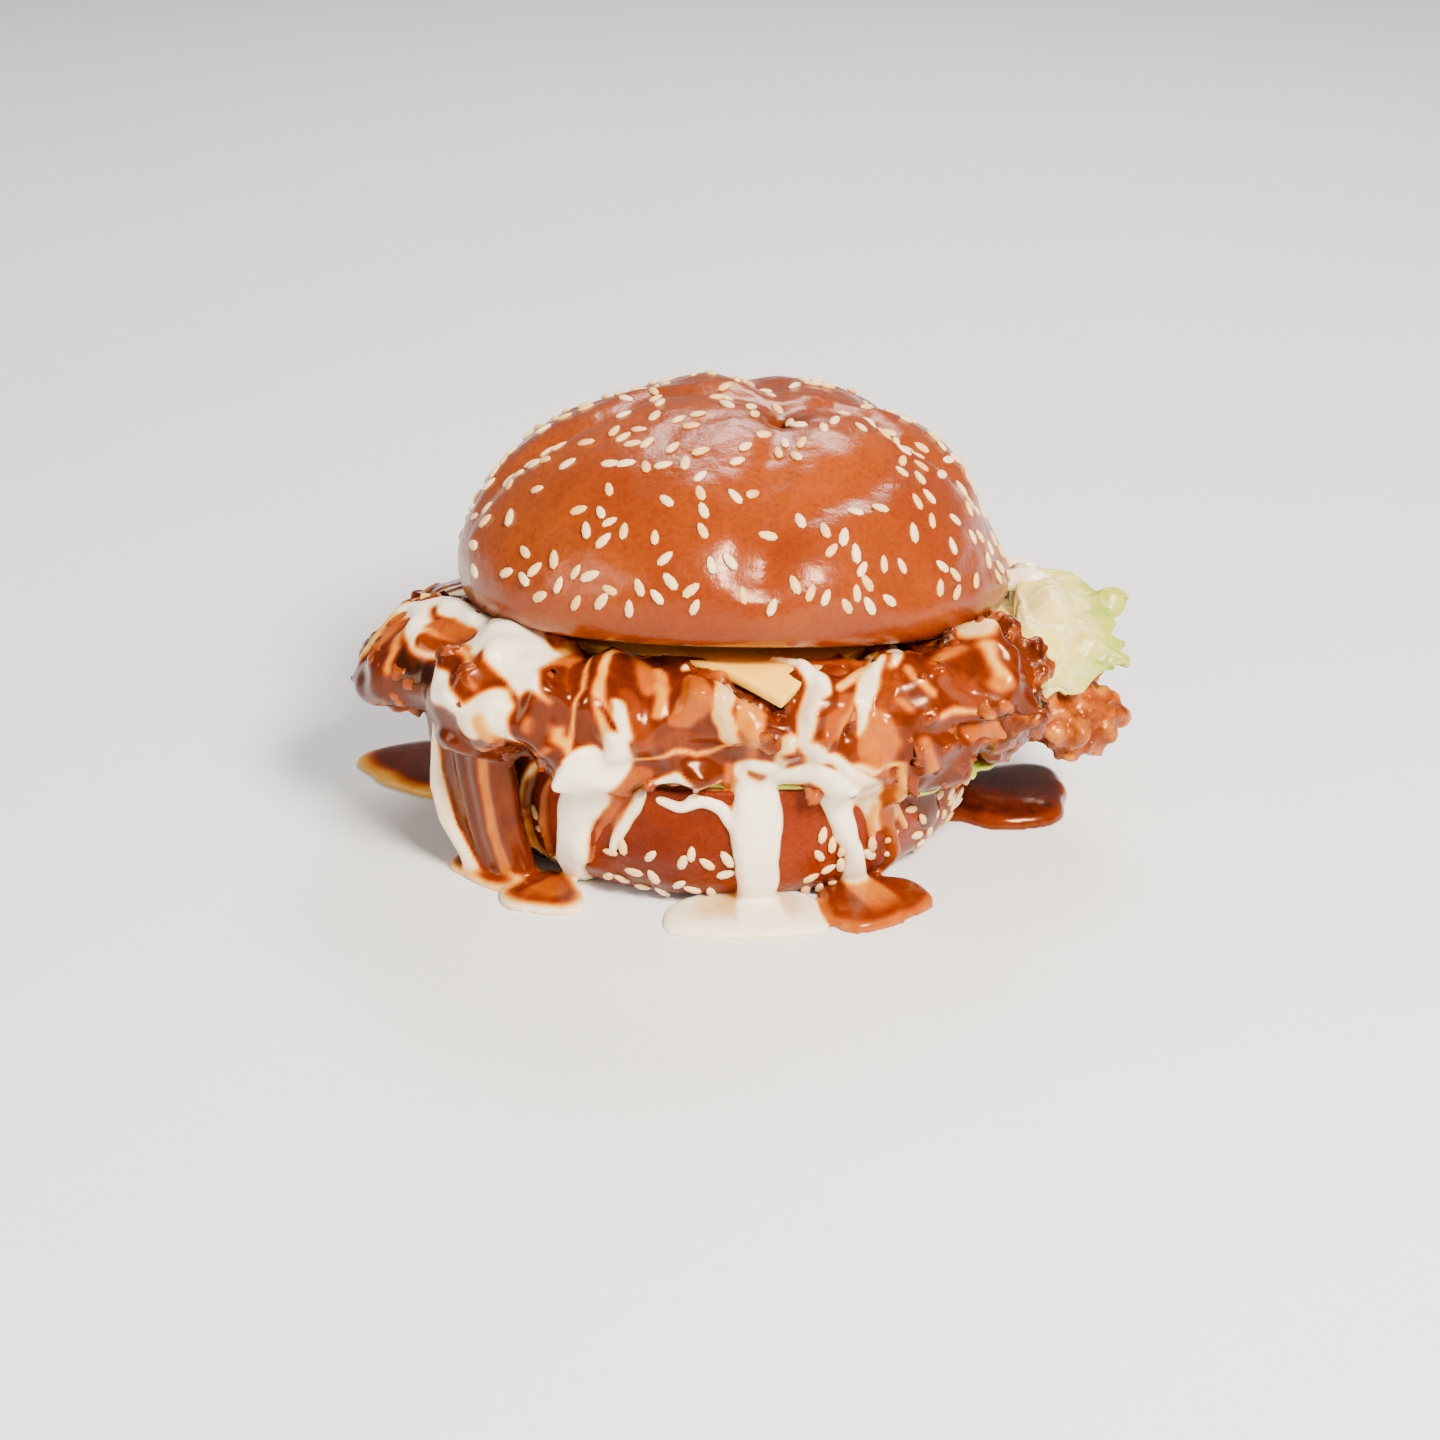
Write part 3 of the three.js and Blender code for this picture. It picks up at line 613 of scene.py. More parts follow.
def build_lower_leaf():
    leaf, u, v = grid_sheet("lettuce_lower", 110, 110)
    p, share, angle, outside = lower_leaf_surface(u, v)
    rim = smooth(0.8, 1, share)
    loose = np.minimum(1, outside / 3)
    p[:, 2] += loose * (0.7 * np.sin(26 * angle + 2) + 0.4 * np.sin(47 * angle)) + 0.12 * grain(p, 5)
    frill = rim * loose * (0.8 * np.sin(33 * angle) + 0.5 * np.sin(61 * angle + 1))
    p[:, 0] += frill * np.cos(angle)
    p[:, 1] += frill * np.sin(angle)
    place_points(leaf, p)
    attribute(leaf, "margin", rim)
    apply(leaf, "SOLIDIFY", thickness=LOWER_LEAF_SHOWN * MM, offset=0)
    return to_frame(leaf)


# The upper leaf leaves the bun on the right as a crumpled vault, with a ruffled edge.
# Where it starts and ends to the right, how high its ridge is, how wide it is and how far back

VAULT_START, VAULT_END, VAULT_TOP, VAULT_HALF, VAULT_Y = 28, 77, 47, 23, 3


def vault_surface(u, v):
    out = (u + 1) / 2
    end = VAULT_END - 8 * v * v - 2 * np.sin(3.4 * v - 0.4) + 1.3 * np.sin(9 * v)
    x = VAULT_START + (end - VAULT_START) * out
    leaves = smooth(46, 60, x)
    arc = v * (0.25 + 1.2 * leaves)
    margin = smooth(0.7, 1, out)
    ruffle = margin * (1.6 * np.sin(v * 8.5 + 0.6) + 0.9 * np.sin(v * 15))
    fold = np.sin(v * 5.6 + x * 0.16) * np.cos(x * 0.27 + v * 2.4)
    crumple = leaves * (2.1 * fold + 0.8 * np.sin(x * 0.6 - v * 7))
    spread = VAULT_HALF * (1 - 0.1 * leaves * (1 - np.cos(arc)) + 0.07 * np.sin(x * 0.33))
    y = VAULT_Y - 5 * leaves + (leaves * np.sin(arc) + (1 - leaves) * v) * spread
    sag = leaves * 17 * (1 - np.cos(arc)) + 0.22 * np.maximum(0, x - 64) ** 1.25
    under = underside(x, y) - 1.6
    free = VAULT_TOP + 1.5 * leaves - sag + crumple
    covered = x < CROWN_RADIUS + 3
    z = mixed(under, np.where(covered, np.minimum(free, under), free), leaves)
    return points(x + ruffle * 0.7, y, z + ruffle * 0.6), out, leaves


def build_upper_leaf():
    leaf, u, v = grid_sheet("lettuce_upper", 110, 100)
    p, out, leaves = vault_surface(u, v)
    margin = smooth(0.74, 0.96, out + 0.05 * np.sin(5 * v))
    vein = np.abs(np.sin(7 * v + 1.5 * out)) ** 0.5
    p[:, 2] += leaves * (0.5 * (vein - 0.7) + 0.5 * grain(p, 5, shift=2.0))
    p[:, 2] += margin * (0.8 * np.sin(31 * v) + 0.4 * np.sin(57 * v + 1))
    p[:, 0] += margin * 0.8 * np.sin(43 * v + 2)
    place_points(leaf, p)
    green = np.maximum(margin, 0.8 * smooth(0.85, 1, np.abs(v)) * smooth(0.5, 0.8, out))
    attribute(leaf, "margin", green * mixed(0.25, 1, smooth(66, 73, p[:, 0])))
    apply(leaf, "SOLIDIFY", thickness=UPPER_LEAF_SHOWN * MM, offset=0)
    return to_frame(leaf)


# The fried chicken: its rim by bearing in degrees, as bearing, reach, middle height, half height

RIM = [
    (-174, 73, 34, 10),
    (-141, 62, 40, 11),
    (-118, 57, 40, 12),
    (-95, 54, 40, 12),
    (-70, 54, 38, 13),
    (-45, 59, 35, 15),
    (-22, 66, 30, 10.5),
    (-6, 72, 26.5, 7),
    (18, 66, 31, 8),
    (45, 57, 34, 10),
    (90, 53, 35, 10),
    (135, 57, 36, 10),
    (165, 66, 33, 10),
]

# Crags on the fillet, and the sauce that lies thick on it: middle, half sizes, roll in degrees
LUMPS = [
    ((-57, -15, 40.5), (18, 17, 9.5), -24),
    ((-42, -36, 41.5), (16, 15, 11.5), -16),
    ((-35.5, -46.5, 42), (7, 6.5, 7.5), 0),
    ((-19, -41, 41), (15, 12, 9), 0),
    ((-2, -42, 42), (14, 11.5, 9), 8),
    ((16, -42, 39), (15, 11, 11.5), 0),
    ((32, -40, 36), (12, 11, 14), 0),
    ((-14, -44, 29.8), (23, 8.5, 4), 0),
    ((19, -44, 29.8), (18, 8, 4), 0),
    ((45, -29, 40.5), (15, 15, 11.5), 16),
    ((68, -13, 25), (9, 8, 5), 18),
    ((-30, -47, 34), (6, 6, 8.5), -10),
    ((22, 43, 36), (16, 12, 9.5), 0),
    ((-24, 44, 36), (14, 11, 9), 0),
]


def rim_at(angle):
    """Reach, middle height and half height of the rim at each angle."""
    bearings = np.array([row[0] for row in RIM] + [RIM[0][0] + 360], float)
    bearing = (angle / DEGREE + 174) % 360 - 174
    index = np.clip(np.searchsorted(bearings, bearing, side="right") - 1, 0, len(RIM) - 1)
    share = smooth(0, 1, (bearing - bearings[index]) / (bearings[index + 1] - bearings[index]))
    rows = np.array([row[1:] for row in RIM] + [RIM[0][1:]], float)
    return [mixed(rows[index, k], rows[index + 1, k], share) for k in range(3)]


def battered(p, middle, amount):
    """Crisp batter: each point pushed out or in by lumps of two sizes."""
    rough = 2 * lumps(p, 19) + 2 * lumps(p, 11, 2)
    return p + unit(p - middle) * (rough * amount)[:, None]


def fillet_body():
    body = ball("fillet", 180, 70)
    p = unit_points(body)
    angle = angle_of(p)
    flat = reach_of(p) ** 0.6
    reach, height, half = rim_at(angle)
    nuggets = 1 + 0.035 * np.sin(9 * angle + 0.8) + 0.02 * np.sin(16 * angle)
    centre = mixed(36, height, flat ** 3)
    z = centre + p[:, 2] * mixed(12, half, flat)
    moved = around(flat * reach * nuggets, angle, z)
    place_points(body, battered(moved, np.array([0, -4, 36.0]), smooth(0.5, 1, flat)))
    return body


def lump(at, size, roll):
    body = ball("lump", 48, 28)
    turn = Matrix.Translation(at) @ Matrix.Rotation(roll * DEGREE, 4, "Y")
    p = placed(unit_points(body) * np.array(size, float), turn)
    place_points(body, battered(p, np.array(at, float), np.full(len(p), 0.8)))
    return body


def body_tree(pieces):
    """The surfaces of finished pieces, round the bun's axis, to cast rays at."""
    corners, faces, start = [], [], 0
    for piece in pieces:
        p = points_of(piece) - BUN_AXIS
        corners.extend(map(tuple, p))
        faces.extend([tuple(start + i for i in face.vertices) for face in piece.data.polygons])
        start += len(p)
    return BVHTree.FromPolygons(corners, faces)


# The fillet lies on the lower leaf at this height, and this far under what lies on it
FILLET_FLOOR = 27.4
FILLET_GAP = 0.7
OPEN_SKY = 999.0


def ceiling_over(tree, p):
    """The height of the lowest layer above each point, or a great height where the sky is free."""
    out = np.full(len(p), OPEN_SKY)
    for i, (x, y, _) in enumerate(p):
        hit = tree.ray_cast(Vector((x, y, 24)), Vector((0, 0, 1)), 80)
        if hit[0] is not None:
            out[i] = hit[0].z
    return out


def keep_between_layers(p, roof):
    """Presses the fillet's points under what lies on it, and over the heel and its leaf."""
    p[:, 2] = np.minimum(p[:, 2], ceiling_over(roof, p) - FILLET_GAP)
    reach = reach_of(p)
    floor = FILLET_FLOOR - 0.4 * np.maximum(0, reach - HEEL_RADIUS)
    p[:, 2] = np.where(reach < HEEL_RADIUS + 1, np.maximum(p[:, 2], floor), p[:, 2])
    return p


# Nubs of batter: how many, and where they crowd, as bearing, spread in degrees, height and weight
NUBS = 460
NUB_CROWDS = [(-6, 20, 25, 4), (-36, 20, 32, 2.6), (-112, 44, 38, -0.32)]
# None lie under the cheese's left corner, which starts at this bearing and this height
CHEESE_LIES_FROM = 160
CHEESE_LIES_AT = 38


def nub(at, out, number):
    """One knob of batter, longer than it is wide, half sunk in the fillet."""
    bpy.ops.mesh.primitive_ico_sphere_add(subdivisions=2, radius=1)
    knob = fresh("nub")
    size = 1.3 + 2.0 * chance(number, 33) ** 1.4
    stretch = np.array([1.0, 0.75 + 0.5 * chance(number, 34), 0.7 + 0.5 * chance(number, 35)])
    p = unit_points(knob)
    p = p * (1 + 0.22 * lumps(p * 9, 9, number))[:, None] * stretch * size
    turn = Matrix.Rotation(math.pi * chance(number, 36), 4, "Z")
    turn = turn @ Matrix.Rotation(math.pi * chance(number, 37), 4, "X")
    place_points(knob, placed(p, Matrix.Translation(at + out * size * 0.25) @ turn))
    return knob


def nubs_on(fillet):
    """Knobs over the open parts of the fillet, thickest where the batter is crisp."""
    p = points_of(fillet)
    normal = normals_of(fillet)
    bearing = angle_of(p) / DEGREE
    weight = np.full(len(p), 0.35)
    for middle, spread, height, extra in NUB_CROWDS:
        weight += extra * bell(turned_from(bearing, middle) / spread) * bell((p[:, 2] - height) / 12)
    weight *= (reach_of(p) > 46) / 6
    weight[(np.abs(bearing) > CHEESE_LIES_FROM) & (p[:, 2] > CHEESE_LIES_AT)] = 0
    laid = []
    number = 0
    while len(laid) < NUBS:
        number += 1
        i = int(chance(number, 31) * len(p))
        if chance(number, 32) < weight[i]:
            laid.append(nub(Vector(p[i]), Vector(normal[i]), number))
    return laid


def knobs(p, size):
    """Round heads of the size given, 1 at the middle of each and 0 in the clefts between them."""
    out = np.empty(len(p))
    for i, spot in enumerate(p / size):
        near = noise.voronoi(Vector(spot))[0]
        out[i] = min(1.0, (near[1] - near[0]) * 1.6)
    return out


def crisp(fillet):
    """Pushes the crust into crags, knobs and flakes."""
    p = points_of(fillet)
    crag = 1.0 * (knobs(p, 5.5) - 0.5) + 0.3 * (knobs(p + 40, 2.4) - 0.5)
    crag += 0.6 * grain(p, 7, 2) + 0.1 * grain(p, 1.4, 2)
    place_points(fillet, p + normals_of(fillet) * crag[:, None])
    # The ridge value darkens the glaze in the clefts between crags as painted shade and lightens their tops
    # as painted light; the rise at the right tip is for its golden shreds.
    attribute(fillet, "ridge", crag + 0.5 * smooth(58, 68, p[:, 0]))


def build_fillet(roof):
    fillet = joined("fried_chicken", [fillet_body()] + [lump(*row) for row in LUMPS])
    even_out(fillet, 1.0, 3)
    fillet = joined("fried_chicken", [fillet] + nubs_on(fillet))
    place_points(fillet, keep_between_layers(points_of(fillet), roof))
    even_out(fillet, 0.75, 3)
    crisp(fillet)
    return to_frame(fillet)


# The sauce: one skin over the fillet and the heel, unrolled by bearing and by the way up. Rays go
# straight out from an upright ring inside the burger, and fan upwards from FAN_START on

SKIN_COLUMNS = 640
SKIN_STEP = 0.6
SKIN_TOP = 68
RING_RADIUS = 40
FAN_START = 38
FAN_RADIUS = 20
RAY_LENGTH = 60
# How long a degree of bearing is on the sauce, and how deep the skin lies hidden where it is dry
MM_PER_DEGREE = 0.96
HIDDEN = 1.4
# How thick the skin is, how fine it is melted together, and what of it is buried and cut away
SKIN_THICKNESS = 2.6
SAUCE_VOXEL = 0.6
BURIED = 0.9
# The strip of cheese that no sauce covers: bearing, way and half width
CHEESE_SHOWS = [(-91.5, 68, 3.0), (-86.4, 63.5, 3.2), (-81.5, 56, 2.7), (-78, 51.5, 2.4)]


def skin_frame():
    """Bearing in degrees, way, and the start and direction of each ray of the skin."""
    bearing = -180 + 360 * np.arange(SKIN_COLUMNS) / SKIN_COLUMNS
    way = np.arange(0, SKIN_TOP, SKIN_STEP)
    bearing, way = np.meshgrid(bearing, way)
    rise = np.maximum(0, way - FAN_START) / FAN_RADIUS
    start = around(RING_RADIUS, bearing * DEGREE, np.minimum(way, FAN_START))
    return bearing, way, start, around(np.cos(rise), bearing * DEGREE, np.sin(rise))


def reached(tree, start, heading):
    """How far out along each ray the bodies reach."""
    out = np.full(start.shape[:2], 1.0)
    far = start + heading * RAY_LENGTH
    for place in np.ndindex(out.shape):
        hit = tree.ray_cast(Vector(far[place]), Vector(-heading[place]), RAY_LENGTH)
        if hit[0] is not None:
            out[place] = RAY_LENGTH - hit[3]
    return out


def blurred(field, width):
    """Soft average over about this many millimetres, closed round the burger."""
    size = max(1, int(3 * width / SKIN_STEP))
    weight = np.exp(-0.5 * (np.arange(-size, size + 1) * SKIN_STEP / width) ** 2)
    weight /= weight.sum()
    across = sum(w * np.roll(field, k - size, axis=1) for k, w in enumerate(weight))
    padded = np.pad(across, ((size, size), (0, 0)), mode="edge")
    return sum(w * padded[k:k + field.shape[0]] for k, w in enumerate(weight))


# Each stroke of sauce: tone, thickness, and its run as bearing, way and half width. Later ones lie
# over earlier ones. Tone 0 is dark brown, 0.3 amber, 0.6 cream over brown, 1 white

STROKES = [
    # Glaze over the whole front, darker under the crown's rim as painted shade
    (0.13, 0.55, [(-160, 40, 2.9), (-155, 35, 4.9), (-146, 35, 4.1), (-141, 31, 3)]),
    (0.13, 0.55, [(-154, 46, 9.2), (-132, 44, 10.2), (-124, 42, 9.2)]),
    (0.14, 0.6, [
        (-130, 56, 8.2), (-116, 49, 9.8), (-107, 49, 9.8), (-96, 48, 9.2), (-84, 50, 8.2),
        (-73, 49, 8.2),
    ]),
    (0.14, 0.6, [(-122, 38, 6.1), (-108, 35, 6.1), (-92, 32, 6.1), (-76, 32, 6.1), (-65, 34, 6.1)]),
    (0.16, 0.5, [(-61, 49, 7.1), (-53, 48, 8.2), (-44, 45, 8.2), (-36, 46, 6.1)]),
    (0.16, 0.45, [(-58, 37, 6.1), (-48, 31, 4.9)]),
    # Darker brown under the crown's rim: brown sauce with painted shade, where the recess under the crown
    # lies in shadow.
    (0.1, 0.5, [(-126, 60, 5.0), (-112, 60, 6.0), (-99, 61, 5.5)]),
    (0.06, 0.5, [(-124, 67, 3.5), (-108, 67, 4.5), (-97, 66, 3)]),
    (0.28, 0.7, [(-72, 63, 3.5), (-62, 62, 5), (-50, 60, 5)]),
    # Between the streams in the middle
    # The near-black line along the top, right under the crown's rim, is painted shadow.
    (0.0, 0.3, [(-130, 68, 1.4), (-116, 66, 1.6), (-107, 68, 1.6), (-98, 68, 1.4)]),
    (0.43, 1.1, [(-114, 62, 1.4), (-110, 58, 1.8), (-107, 52, 1.6)]),
    (0.02, 0.3, [(-108, 67, 1.2), (-106, 61, 1.0)]),
    (0.6, 1.2, [(-107, 58, 1.0), (-104, 52, 1.4), (-104, 46, 1.2)]),
    (0.27, 1.4, [(-111, 50, 1.2), (-108, 46, 2.0), (-106, 39, 2.0)]),
    (0.42, 1.7, [(-98, 55, 2.4), (-97, 50, 3.3), (-100, 44, 2.4)]),
    (0.2, 1.2, [(-102, 39, 1.8), (-98, 39, 2.4), (-94, 40, 1.8)]),
    (0.96, 1.9, [(-101, 59, 1.0), (-98, 62, 1.6), (-95, 62, 1.0)]),
    (0.1, 0.7, [(-94, 62, 0.8), (-93, 52, 1.0), (-93, 46, 1.0), (-92, 38, 0.8)]),
    (0.76, 1.2, [(-92, 61, 1.4), (-91, 53, 2.4), (-92, 47, 2.4), (-90, 40, 2.4)]),
    (0.56, 1.0, [(-87, 52, 1.6), (-86, 46, 2.7), (-86, 40, 2.4)]),
    (0.36, 0.9, [(-88, 42, 0.8), (-86, 37, 1.0), (-86, 34, 1.0)]),
    (0.8, 1.3, [(-79, 41, 1.6), (-80, 36, 1.6), (-81, 29, 1.6)]),
    (0.24, 1.1, [(-60, 68, 2.4), (-64, 58, 2.0)]),
    # The left wing: brown underneath, then its rim and its sheet
    (0.1, 0.8, [(-170, 35, 2.4), (-164, 36, 3.7), (-157, 32, 4.5), (-146, 33, 3)]),
    (0.0, 0.3, [(-158, 43, 1.6), (-154, 42, 1.8), (-146, 41, 1.2)]),
    (0.42, 0.8, [(-166, 45, 1.0), (-163, 42, 1.2), (-162, 39, 1.0)]),
    (0.68, 1.5, [(-174, 47, 1.2), (-170, 45, 1.2), (-166, 42, 1.2), (-168, 38, 1.2)]),
    (0.58, 0.9, [(-161, 44, 0.8), (-158, 43, 0.8), (-156, 41, 0.8)]),
    (1, 1.9, [
        (-169, 47, 1.6), (-162, 52, 2.9), (-159, 53, 4.1), (-150, 56, 4.9), (-140, 56, 4.9),
        (-129, 51, 3.5), (-123, 47, 2.0),
    ]),
    (1, 1.9, [(-166, 47, 1.6), (-156, 46, 1.8), (-145, 46, 2.0), (-141, 43, 2.9), (-137, 42, 1.8)]),
    (0.98, 1.7, [(-145, 55, 4.1), (-132, 50, 3.7), (-125, 46, 2.4)]),
    (0.5, 0.8, [(-158, 60, 0.5), (-151, 56, 0.5), (-143, 53, 0.3)]),
    (0.36, 1.0, [(-156, 48, 1.2), (-154, 49, 1.6), (-150, 50, 1.6)]),
    (0.2, 0.9, [(-154, 46, 1.2), (-146, 47, 2.0), (-141, 48, 1.8)]),
    (0.1, 0.8, [(-141, 47, 1.4), (-137, 47, 1.6), (-136, 46, 1.0)]),
    (0.14, 0.7, [(-136, 46, 1.0), (-134, 44, 1.0), (-133, 42, 1.0), (-133, 40, 0.8), (-136, 36, 0.6)]),
    (0.7, 1.2, [(-141, 49, 0.5), (-135, 47, 0.6), (-134, 45, 0.5)]),
    (0.2, 0.9, [(-136, 49, 0.8), (-134, 47, 1.2), (-132, 45, 1.6)]),
    (0.13, 0.8, [(-132, 45, 1.4), (-130, 43, 1.2), (-128, 43, 0.8)]),
    (0.94, 1.7, [(-134, 40, 2.4), (-131, 42, 3.1), (-129, 41, 2.7), (-127, 39, 1.6)]),
    (0.62, 1.5, [(-132, 41, 0.8), (-131, 38, 0.8)]),
    # The crisp knob in the sheet's corner, with painted glints on it, and the drip right of it
    (0.12, 1.3, [(-125, 44, 2.2), (-124, 41, 3.7), (-124, 37, 2.9)]),
    # Painted highlights: two small amber glints on the knob.
    (0.46, 1.5, [(-125, 42, 0.6), (-125, 41, 0.6)]),
    (0.5, 1.5, [(-127, 35, 0.6), (-124, 37, 0.6), (-123, 38, 0.6)]),
    (0.66, 1.3, [(-122, 43, 0.8), (-122, 40, 0.8), (-120, 38, 0.8)]),
    (0.42, 1.2, [(-134, 60, 1.6), (-130, 59, 2.0), (-127, 55, 1.8), (-126, 50, 1.4)]),
    (0.7, 1.5, [(-129, 55, 0.6), (-129, 58, 0.6), (-131, 63, 0.5)]),
    (0.14, 1.0, [(-125, 50, 1.6), (-121, 46, 1.6), (-122, 43, 1.4)]),
    (0.12, 1.6, [
        (-122, 66, 1.6), (-120, 56, 2.0), (-117, 47, 2.0), (-118, 41, 2.2), (-118, 36, 2.0),
        (-118, 34, 1.6),
    ]),
    (0.78, 1.3, [
        (-126, 66, 0.5), (-121, 53, 0.5), (-118, 48, 0.5), (-119, 44, 0.5), (-120, 40, 0.5),
        (-120, 37, 0.6),
    ]),
    (0.7, 1.2, [(-118, 59, 1.0), (-117, 54, 1.2), (-115, 47, 1.0), (-113, 41, 1.4), (-112, 37, 1.6)]),
    (0.72, 1.1, [(-112, 67, 0.5), (-115, 61, 0.6), (-118, 58, 1.0)]),
    (1, 1.6, [(-112, 47, 1.0), (-111, 44, 1.6), (-109, 41, 1.2)]),
    (0.0, 0.9, [(-115, 46, 0.4), (-113, 43, 0.4), (-111, 41, 0.4), (-111, 38, 0.4)]),
    # The left stream, and the stripes beside it on the heel
    (0.13, 2.6, [(-139, 32, 5), (-143, 24, 7), (-146, 14, 7), (-147, 3, 6)]),
    (0.12, 2.2, [(-158, 26, 5), (-161, 14, 5), (-162, 4, 4)]),
    (1, 2.4, [(-117, 34, 3.7), (-117, 30, 5.5), (-124, 20, 5.3), (-126, 12, 4.3), (-129, 0, 3.5)]),
    (1, 2.1, [(-111, 39, 2.4), (-111, 36, 2.9), (-115, 31, 3.7)]),
    (0.42, 2.8, [(-137, 30, 0.8), (-140, 28, 1.0), (-143, 29, 0.8)]),
    (0.8, 2.4, [(-130, 32, 0.6), (-139, 21, 0.8), (-140, 16, 0.8), (-140, 8, 0.8), (-138, 1, 0.8)]),
    (0.38, 2.0, [(-126, 33, 1.0), (-134, 20, 1.4), (-135, 14, 1.4), (-135, 6, 1.2), (-134, 1, 1.0)]),
    # Ledge, swirl and white lines
    (0.36, 1.3, [(-108, 31, 2.0), (-110, 29, 2.0), (-113, 26, 1.4), (-118, 16, 1.0), (-122, 7, 0.8)]),
    (0.15, 1.3, [(-102, 33, 1.8), (-97, 32, 2.7), (-94, 29, 1.6)]),
    (0.44, 1.1, [(-91, 32, 0.8), (-91, 29, 1.0), (-92, 25, 0.8)]),
    (0.76, 1.1, [(-108, 35, 0.5), (-105, 35, 0.5), (-101, 36, 0.6), (-97, 35, 0.5), (-90, 38, 0.6)]),
    (0.46, 1.2, [(-110, 25, 0.8), (-114, 19, 0.8), (-116, 11, 0.8)]),
    (0.95, 1.4, [(-110, 24, 1.2), (-112, 19, 1.2), (-115, 13, 1.2)]),
    (0.95, 1.5, [(-106, 28, 1.0), (-105, 28, 1.2), (-101, 30, 1.5), (-99, 29, 1.2)]),
    (0.3, 0.8, [(-105, 25, 0.6), (-102, 26, 0.6)]),
    (0.92, 1.2, [(-99, 25, 0.8), (-96, 28, 0.7), (-93, 29, 0.5)]),
    (1, 1.6, [(-107, 23, 1.0), (-101, 23, 1.4), (-96, 24, 1.6), (-92, 22, 1.8), (-88, 19, 2.4)]),
    # The middle stream and what runs into it
    (1, 2.6, [(-84, 30, 4.9), (-84, 22, 5.7), (-84, 14, 5.1), (-84, 0, 4.9)]),
    (0.6, 1.6, [(-89, 30, 0.6), (-90, 26, 0.6)]),
    (0.95, 1.6, [(-88, 31, 2.0), (-81, 29, 2.9), (-74, 31, 2.4), (-69, 29, 2.9)]),
    (0.24, 1.4, [(-86, 31, 0.8), (-83, 30, 1.0)]),
    (0.17, 1.2, [(-79, 37, 1.2), (-78, 36, 1.4)]),
    (0.86, 1.8, [(-79, 68, 1.4), (-75, 61, 1.8)]),
    (1, 2.5, [(-74, 60, 1.8), (-72, 54, 2.2), (-72, 50, 1.8)]),
    (0.88, 1.9, [(-73, 50, 1.6), (-75, 45, 1.8), (-76, 40, 1.8), (-74, 34, 1.8)]),
    (0.36, 1.6, [(-65, 48, 0.5), (-68, 47, 1.6), (-71, 43, 2.4), (-73, 40, 2.4)]),
    (0.5, 1.7, [(-66, 47, 0.5), (-69, 44, 0.8), (-70, 40, 1.0)]),
    (0.17, 1.3, [(-70, 47, 0.6), (-73, 45, 0.8), (-74, 41, 0.8)]),
    (0.95, 1.8, [(-75, 38, 1.4), (-73, 35, 1.6), (-70, 35, 1.6), (-67, 32, 1.8), (-64, 29, 2.0)]),
    # The cream column and the golden one
    (0.93, 1.8, [(-53, 64, 0.7), (-57, 56, 1.2), (-60, 52, 1.8), (-64, 46, 2.0), (-64, 40, 1.6)]),
    (0.74, 1.3, [(-68, 50, 1.0), (-64, 52, 1.2), (-60, 55, 1.0)]),
    (0.3, 1.6, [(-55, 56, 1.0), (-57, 51, 1.4), (-60, 45, 1.6)]),
    (0.46, 1.8, [(-62, 43, 1.8), (-62, 37, 3.3), (-62, 34, 2.9)]),
    (0.85, 1.5, [(-66, 34, 0.6), (-63, 32, 0.7), (-59, 32, 0.6)]),
    (0.2, 1.1, [(-67, 43, 0.8), (-66, 38, 0.8), (-66, 35, 0.8)]),
    # The right stream, cream on its left and amber on its right
    (0.84, 1.5, [(-68, 29, 3.7), (-58, 22, 3.7), (-54, 17, 2.9)]),
    (1, 2.3, [(-70, 30, 2.4), (-69, 28, 3.1), (-64, 15, 2.9), (-59, 0, 2.9)]),
    (0.34, 1.7, [(-61, 31, 1.2), (-56, 23, 1.4), (-52, 12, 1.8), (-50, 0, 3.2)]),
    (0.62, 1.5, [(-58, 21, 1.0), (-57, 14, 1.0), (-57, 10, 1.0)]),
    (0.68, 1.5, [(-58, 32, 0.8), (-55, 25, 1.0), (-48, 13, 1.2)]),
    # Over the right crag
    (0.17, 1.0, [(-36, 62, 1.8), (-39, 55, 2.0)]),
    (0.15, 1.9, [(-35, 53, 2.4), (-37, 48, 4.1), (-38, 44, 4.1), (-37, 41, 2.9)]),
    (0.25, 1.6, [(-49, 49, 1.6), (-46, 45, 2.7), (-45, 43, 1.8)]),
    (0.9, 1.1, [(-42, 67, 1.0), (-44, 62, 1.7), (-52, 56, 1.8), (-56, 53, 0.8)]),
    (0.72, 1.0, [(-57, 56, 0.5), (-52, 62, 0.7), (-46, 66, 0.7)]),
    (0.78, 2.4, [(-32, 58, 0.8), (-36, 53, 2.4)]),
    (0.72, 2.2, [(-38, 50, 0.9), (-39, 48, 0.8), (-40, 45, 1.0)]),
    (0.5, 2.0, [(-41, 44, 1.2), (-40, 44, 1.0)]),
    (0.46, 1.3, [(-48, 50, 0.8), (-42, 51, 1.1), (-40, 51, 0.8)]),
    # Painted highlight: a thin pale glint line across the crag.
    (0.74, 1.2, [(-52, 42, 0.6), (-48, 41, 0.7), (-44, 40, 0.5)]),
    (0.46, 1.3, [(-44, 35, 1.6), (-42, 36, 2.0), (-40, 34, 1.4)]),
    (0.47, 1.3, [(-55, 38, 1.2), (-54, 35, 1.4), (-52, 31, 1.2)]),
    (0.6, 1.0, [(-54, 51, 0.8), (-54, 49, 0.6)]),
    (0.62, 1.0, [(-53, 48, 0.8), (-52, 46, 0.8)]),
    (0.55, 1.0, [(-58, 46, 0.6), (-57, 44, 0.8)]),
    (0.66, 1.0, [(-48, 29, 0.6), (-46, 27, 0.8)]),
    (0.1, 0.7, [(-50, 26, 4.1), (-42, 18, 4.5), (-38, 11, 3.7)]),
    # Right side, back and left side
